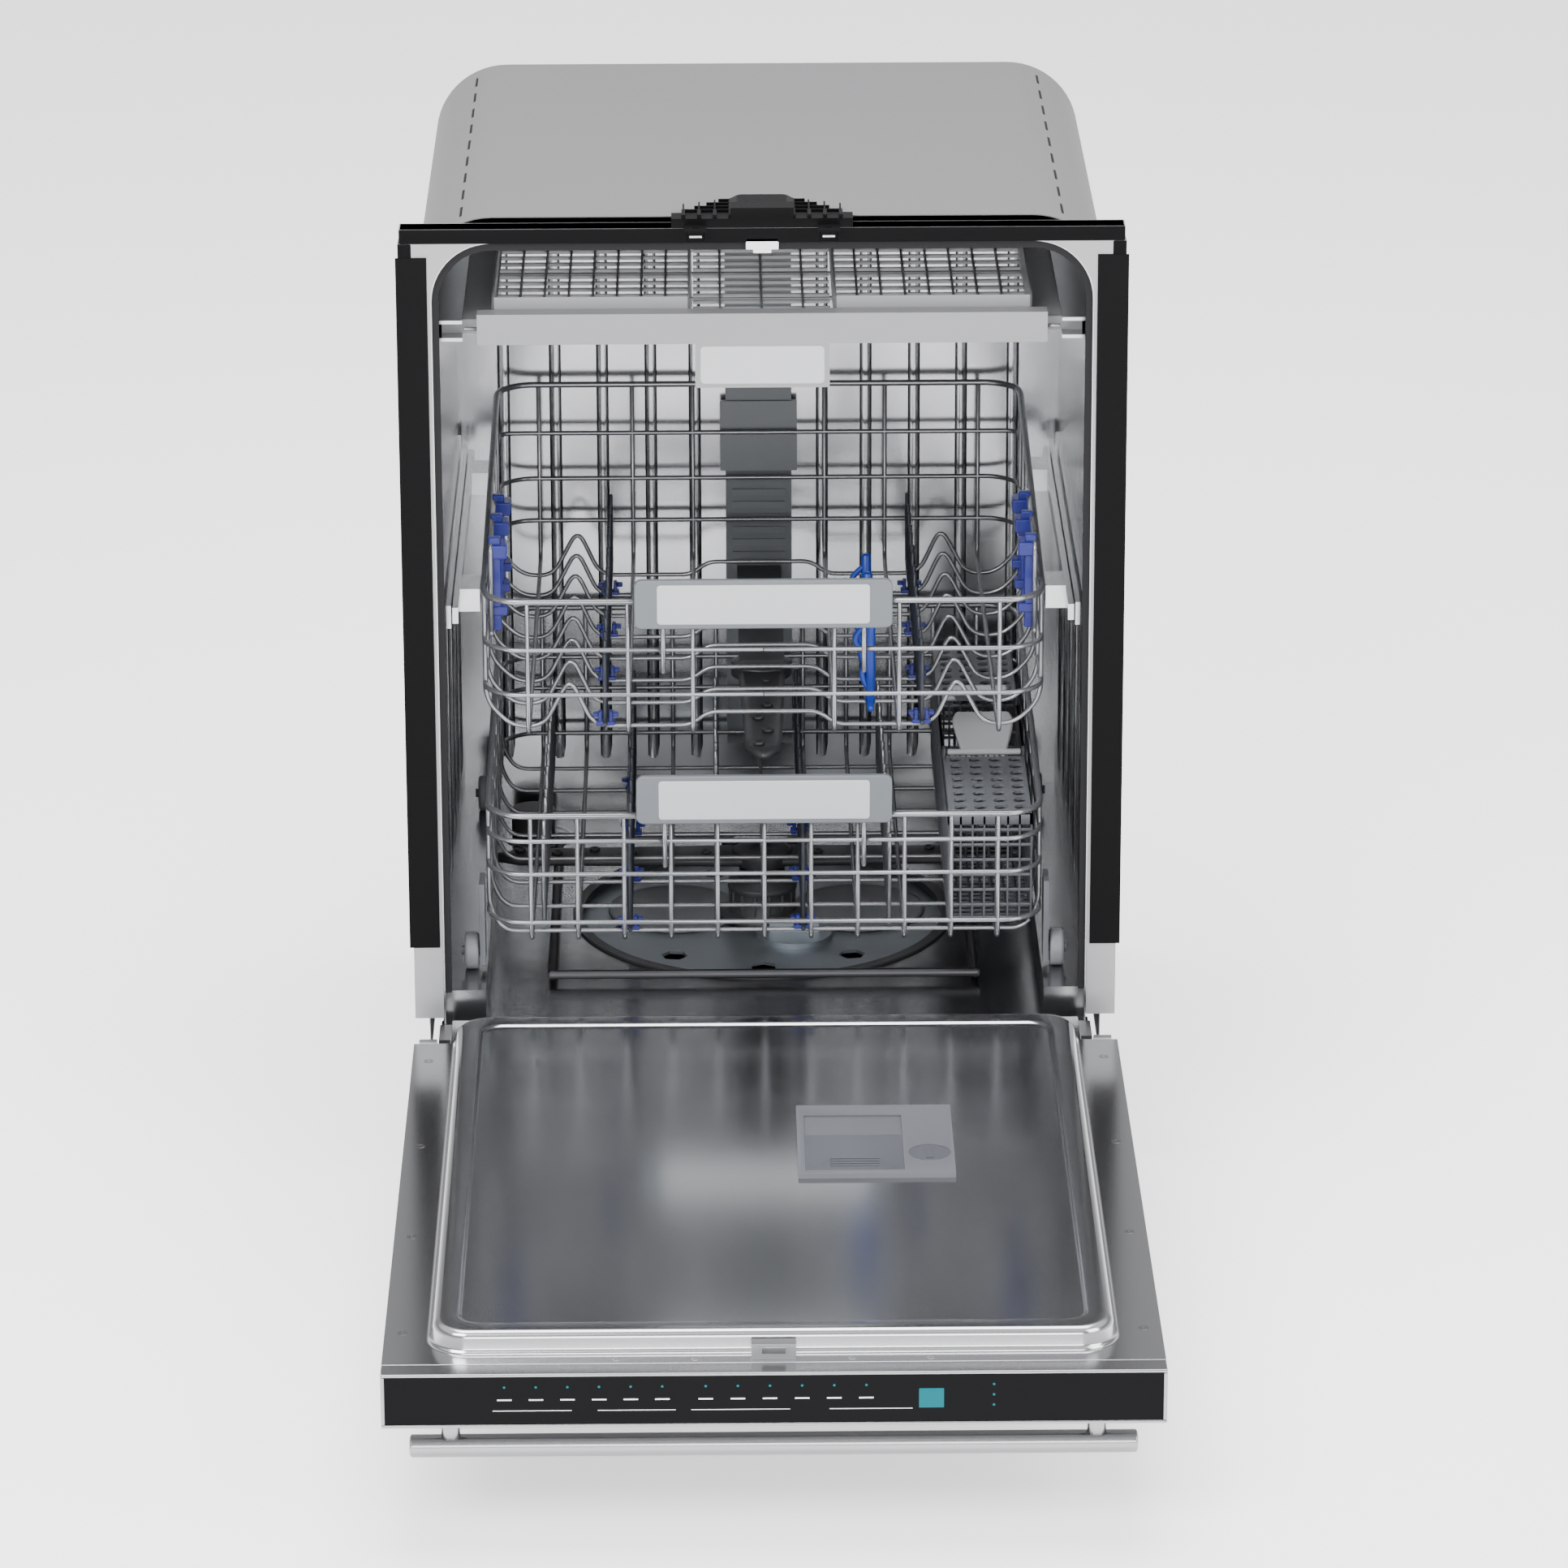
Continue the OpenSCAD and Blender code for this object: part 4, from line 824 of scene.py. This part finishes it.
def build_wrap_details():
    """Seam slots along both rounded top edges of the wrap, and its screws."""
    x0, x1, y0, y1, z0, z1 = bx("tub_jacket")
    corner = 0.0645
    lean = math.radians(24)
    bm = bmesh.new()
    for s in (-1, 1):
        n = Vector((s * math.sin(lean), 0, math.cos(lean)))
        t = Vector((s * math.cos(lean), 0, -math.sin(lean)))
        c = Vector((s * (0.2885 - corner), 0, 0.850 - corner)) + n * corner
        for i in range(9):
            y = FY + 0.045 + 0.056 * i
            add_loft(bm, [[c + Vector((0, v_y, 0)) + t * u + n * v for u, v in
                           ((-0.0011, -0.0004), (0.0011, -0.0004), (0.0011, 0.00015), (-0.0011, 0.00015))]
                          for v_y in (y, y + 0.03)])
    mesh_object("seam_slots", bm, "cabinet", "black")
    bm = bmesh.new()
    for s in (-1, 1):
        for z in (z0 + 0.02, (z0 + z1) / 2, z1 - 0.08):
            add_turned(bm, (s * (x1 - 0.018), y1 - 0.0002, z), (0, 1, 0), SCREW, 24)
            if z < z1 - 0.1:
                for y in (y0 + 0.03, y1 - 0.03):
                    add_turned(bm, (s * (x1 - 0.0002), y, z), (s, 0, 0), SCREW, 24)
    mesh_object("wrap_screws", bm, "cabinet", "zinc")


RIB = ((-1, 0), (-0.6, 0.6), (-0.25, 1), (0.25, 1), (0.6, 0.6), (1, 0))  # section: across, out


def build_tub_details():
    """Pressed ribs, floor caps, filter discs and the central column."""
    floor_z = 0.130
    back = bx("tub_shell")[3] - 0.0012
    bm = bmesh.new()
    for x in (-0.232, -0.185, -0.142, -0.098, -0.058, 0.058, 0.098, 0.142, 0.185, 0.232):
        add_loft(bm, [[Vector((x + 0.006 * u, back + 0.0003 - 0.0022 * k * v, z)) for u, v in RIB]
                      for z, k in ((0.19, 0.05), (0.205, 0.8), (0.22, 1), (0.76, 1), (0.775, 0.8),
                                   (0.79, 0.05))])
    mesh_object("back_ribs", bm, "cabinet", "tub")
    bm = bmesh.new()
    for s in (-1, 1):
        for y in (0.10, 0.19, 0.28, 0.37, 0.46):
            add_loft(bm, [[Vector((s * (0.2743 - 0.0022 * k * v), FY + y + 0.006 * u, z)) for u, v in RIB]
                          for z, k in ((0.20, 0.05), (0.215, 0.8), (0.23, 1), (0.45, 1), (0.462, 0.8),
                                       (0.474, 0.05))])
    mesh_object("side_ribs", bm, "cabinet", "tub")
    bm = bmesh.new()
    cap = 0.033
    for x in (-0.205, 0.205):
        add_turned(bm, (x, FY + 0.503, floor_z + 0.0001), (0, 0, 1),
                   [(0, cap + 0.001), (0.0008, cap), (0.0012, cap - 0.002), (0.0012, cap - 0.006),
                    (0.0007, cap - 0.008)], 48)
    mesh_object("floor_caps", bm, "cabinet", "tub")
    _, _, sump_y0, sump_y1, _, _ = bx("sump_housing")
    mid = (sump_y0 + sump_y1) / 2
    bm = bmesh.new()
    for x in (-0.078, 0.086):
        add_turned(bm, (x, mid + 0.02, floor_z - 0.0048), (0, 0, 1),
                   [(0, 0.0605), (0.002, 0.060), (0.0022, 0.057), (0.0012, 0.054), (0.0012, 0.01)], 56)
    mesh_object("filter_discs", bm, "cabinet", "duct")
    bm = bmesh.new()
    add_turned(bm, (0, mid, floor_z - 0.0025), (0, 0, 1),
               [(0, 0.040), (0.006, 0.038), (0.008, 0.034), (0.008, 0.030), (0.026, 0.028),
                (0.028, 0.031), (0.033, 0.031), (0.036, 0.022), (0.048, 0.0195)], 48)
    ring, bars = 0.0285, 14
    for i in range(bars):
        g = 2 * math.pi * i / bars
        add_turned(bm, (ring * math.cos(g), mid + ring * math.sin(g), floor_z + 0.0045), (0, 0, 1),
                   [(0, 0.0016), (0.02, 0.0016)], 6)
    mesh_object("sump_column", bm, "cabinet", "sump")


build_top_bar()
build_bridge()
build_wrap_details()
build_tub_details()


# ---- third rack ----
def build_third_rack():
    """Two lattice trays, the channel between them, the grip pad and the side pins."""
    x0, x1, y0, y1, z0, z1 = bx("third_trays")
    inner, cols, rows = 0.060, 8, 22
    e = 0.0003  # keeps crossing bars out of one plane
    bar_y = [y0 + 0.001 + (y1 - y0 - 0.002) * j / rows for j in range(rows + 1)]
    bm = bmesh.new()
    for xa, xb in ((x0, -inner), (inner, x1)):
        for i in range(cols + 1):
            x = xa + 0.001 + (xb - xa - 0.002) * i / cols
            add_box(bm, x - 0.001, x + 0.001, y0, y1, z0, z0 + 0.004 if 0 < i < cols else z1)
        for j, y in enumerate(bar_y):
            inside = 0 < j < rows
            add_box(bm, xa + e, xb - e, max(y - 0.001, y0 + e), min(y + 0.001, y1 - e),
                    z0 + e, z0 + 0.0035 if inside else z1 - e)
            if inside:
                for top in ((z0 + z1) / 2, z1):
                    add_box(bm, xa + 0.0004, xa + 0.0024, y - 0.0008, y + 0.0008, z0 + 0.0005, top)
    ob = mesh_object("cutlery_trays", bm, "third_rack", "thirdlt")
    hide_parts("third_trays")
    bm = bmesh.new()
    for x in (-0.035, 0, 0.035):
        add_box(bm, x - 0.001, x + 0.001, y0, y1, z0 + 0.0002, z0 + 0.004)
    for y in bar_y:
        add_box(bm, -0.058, 0.058, y - 0.0009, y + 0.0009, z0 + 0.0004, z0 + 0.0035)
    mesh_object("centre_channel", bm, "third_rack", "thirdlt")
    _, _, front, _, low, _ = bx("third_frame")
    half = 0.052
    bm = bmesh.new()
    add_loft(bm, [face_loop(-half + i, half - i, low + 0.003 + i, low + 0.036 - i, y, 0.004)
                  for y, i in ((front + 0.001, 0), (front - 0.0002, 0.0002), (front - 0.0008, 0.0014))])
    mesh_object("third_grip_pad", bm, "third_rack", "pad")
    bm = bmesh.new()
    for s in (-1, 1):
        for y in (front + 0.008, front + 0.028):
            add_turned(bm, (s * 0.236, y, low + 0.05), (s, 0, 0),
                       [(0, 0.0016), (0.012, 0.0016), (0.0125, 0.001)], 12)
    mesh_object("third_side_pins", bm, "third_rack", "wire")


# ---- upper rack fittings ----
def build_stem_rest():
    """Four posts on a foot wire, each with a curled arm toward the middle."""
    x0, x1, y0, y1, z0, z1 = bx("stem_holder")
    xc = (x0 + x1) / 2
    base = z0 + 0.003
    paths, radii = [], []
    for i in range(4):
        y = FY + 0.095 + 0.0533 * i  # falls between the rack's cross hoops when folded
        paths.append([Vector((xc, y, base)), Vector((xc, y, z1 - 0.0003))])
        radii.append(0.0044)
        curl = []
        for k in range(21):
            out = (0.0065 if k < 10 else 0.0125) * abs(math.sin(2 * math.pi * k / 20))
            curl.append(Vector((xc - 0.0005 - out, y, base + 0.012 + 0.0031 * k)))
        paths.append(curl)
        radii.append(0.0026)
    paths.append([Vector((xc, y0 + 0.0005, base)), Vector((xc, y1 - 0.0005, base))])
    radii.append(0.003)
    ob = wires("stem_rest", paths, radii, "stem_holder", "blue", bend=0.002)
    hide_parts("stem_holder")


def build_cup_shelf(side, s):
    """A wire frame with five bars and three clips, which folds at its lower wire."""
    node = "cup_shelf_" + side
    _, _, y0, y1, z0, z1 = bx(node)
    xc = s * 0.231
    ya, yb = y0 + 0.006, y1 - 0.006
    paths = [[Vector((xc, y0 + 0.0004, z0 + 0.003)), Vector((xc, y1 - 0.0004, z0 + 0.003))],
             [Vector((xc, ya, z0 + 0.004)), Vector((xc, ya, z1 - 0.003)),
              Vector((xc, yb, z1 - 0.003)), Vector((xc, yb, z0 + 0.004))]]
    radii = [0.0022, 0.0021]
    for i in range(1, 6):
        y = ya + (yb - ya) * i / 6
        paths.append([Vector((xc, y, z0 + 0.004)), Vector((xc, y, z1 - 0.004))])
        radii.append(0.0016)
    ob = wires("cup_rest_" + side, paths, radii, node, "wire", bend=0.012)
    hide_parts(node)
    bm = bmesh.new()
    for y in (y0 + 0.012, (y0 + y1) / 2 - 0.008, y1 - 0.036):
        for depth, near, far, low, high in ((0.0085, 0, 0.008, z0 + 0.002, z1 + 0.002),
                                            (0.014, -0.004, 0.016, z1 - 0.016, z1 - 0.004),
                                            (0.014, -0.002, 0.014, z0 + 0.016, z0 + 0.024)):
            a, b = sorted((xc - s * depth, xc + s * 0.0018))
            add_box(bm, a, b, y + near, y + far, low, high)
    mesh_object("cup_clip_" + side, bm, node, "navy", bevel=0.0012)


# ---- wheels ----
def build_wheels(node):
    """A pair of wheels, each with a recessed face, rounded shoulders and five pins."""
    x0, x1, y0, y1, z0, z1 = bx(node)
    yc, zc = (y0 + y1) / 2, (z0 + z1) / 2
    tread = [(0.0002, 0.0044), (0, 0.0046), (0, 0.0075), (0.003, 0.0082), (0.003, 0.0125), (0, 0.0132),
             (0, 0.0142), (0.0015, 0.0158), (0.003, 0.016), (0.009, 0.016), (0.0105, 0.0158),
             (0.012, 0.0142), (0.012, 0.0132), (0.0095, 0.0126), (0.0095, 0.008), (0.012, 0.0072),
             (0.012, 0.0046), (0.0118, 0.0044)]
    bm = bmesh.new()
    for s in (-1, 1):
        inner = s * (x1 - 0.012)
        add_turned(bm, (inner, yc, zc), (s, 0, 0), tread, 48)
        for k in range(5):
            g = 2 * math.pi * k / 5
            add_turned(bm, (inner + s * 0.0028, yc + 0.0103 * math.cos(g), zc + 0.0103 * math.sin(g)),
                       (s, 0, 0), [(0, 0.0014), (0.0082, 0.0014)], 8)
    ob = mesh_object(node + "_tread", bm, node, "wheel")
    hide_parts(node)


build_third_rack()
build_stem_rest()
build_cup_shelf("left", -1)
build_cup_shelf("right", 1)
build_wheels("wheels_front")
build_wheels("wheels_rear")

# ---- floor and light ----
bm = bmesh.new()
half, cells = 24, 24
vs = [[bm.verts.new((2 * half * i / cells - half, 2 * half * j / cells - half, 0))
       for j in range(cells + 1)] for i in range(cells + 1)]
for i in range(cells):
    for j in range(cells):
        bm.faces.new((vs[i][j], vs[i + 1][j], vs[i + 1][j + 1], vs[i][j + 1]))
me = bpy.data.meshes.new("floor")
bm.to_mesh(me)
bm.free()
floor = bpy.data.objects.new("floor", me)
scene.collection.objects.link(floor)
pale = material("floor_pale", (0.94, 0.94, 0.94), 0.7, 0.0, 0.008, 20, 0.01, spec=0.2)
glow = next(x for x in pale.node_tree.nodes if x.type == "BSDF_PRINCIPLED")
glow.inputs["Emission Color"].default_value = (1, 1, 1, 1)
glow.inputs["Emission Strength"].default_value = 0.9
me.materials.append(pale)

world = bpy.data.worlds.new("studio")
scene.world = world
world.use_nodes = True
wn = world.node_tree
bg = next(x for x in wn.nodes if x.type == "BACKGROUND")
coord = wn.nodes.new("ShaderNodeTexCoord")
split = wn.nodes.new("ShaderNodeSeparateXYZ")
wn.links.new(coord.outputs["Generated"], split.inputs[0])
up = wn.nodes.new("ShaderNodeValToRGB")  # bright at the horizon, a darker band, then bright above
up.color_ramp.elements[0].position = 0.0
up.color_ramp.elements[0].color = (1, 1, 1, 1)
up.color_ramp.elements[1].position = 1.0
up.color_ramp.elements[1].color = (0.62, 0.63, 0.65, 1)
for at, v in ((0.12, 1.0), (0.3, 0.34), (0.5, 0.3), (0.62, 0.8), (0.8, 0.85)):
    e = up.color_ramp.elements.new(at)
    e.color = (v, v * 1.005, v * 1.015, 1)
wn.links.new(split.outputs["Z"], up.inputs[0])
wn.links.new(up.outputs[0], bg.inputs["Color"])
bg.inputs["Strength"].default_value = 1.5


def area(name, loc, aim, size, power):
    d = bpy.data.lights.new(name, "AREA")
    d.shape = "RECTANGLE"
    d.size, d.size_y = size
    d.energy = power
    ob = bpy.data.objects.new(name, d)
    ob.location = loc
    ob.rotation_euler = (Vector(aim) - Vector(loc)).to_track_quat("-Z", "Y").to_euler()
    scene.collection.objects.link(ob)


area("key", (-1.8, -3.0, 3.2), (0, 0, 0.4), (2.4, 1.6), 190)
area("fill", (2.6, -2.4, 2.2), (0, 0, 0.4), (2.0, 2.0), 95)
area("front", (0, -4.6, 1.3), (0, 0.1, 0.45), (2.2, 0.9), 60)
area("top", (0, 0.2, 3.4), (0, 0, 0.4), (2.4, 2.4), 170)
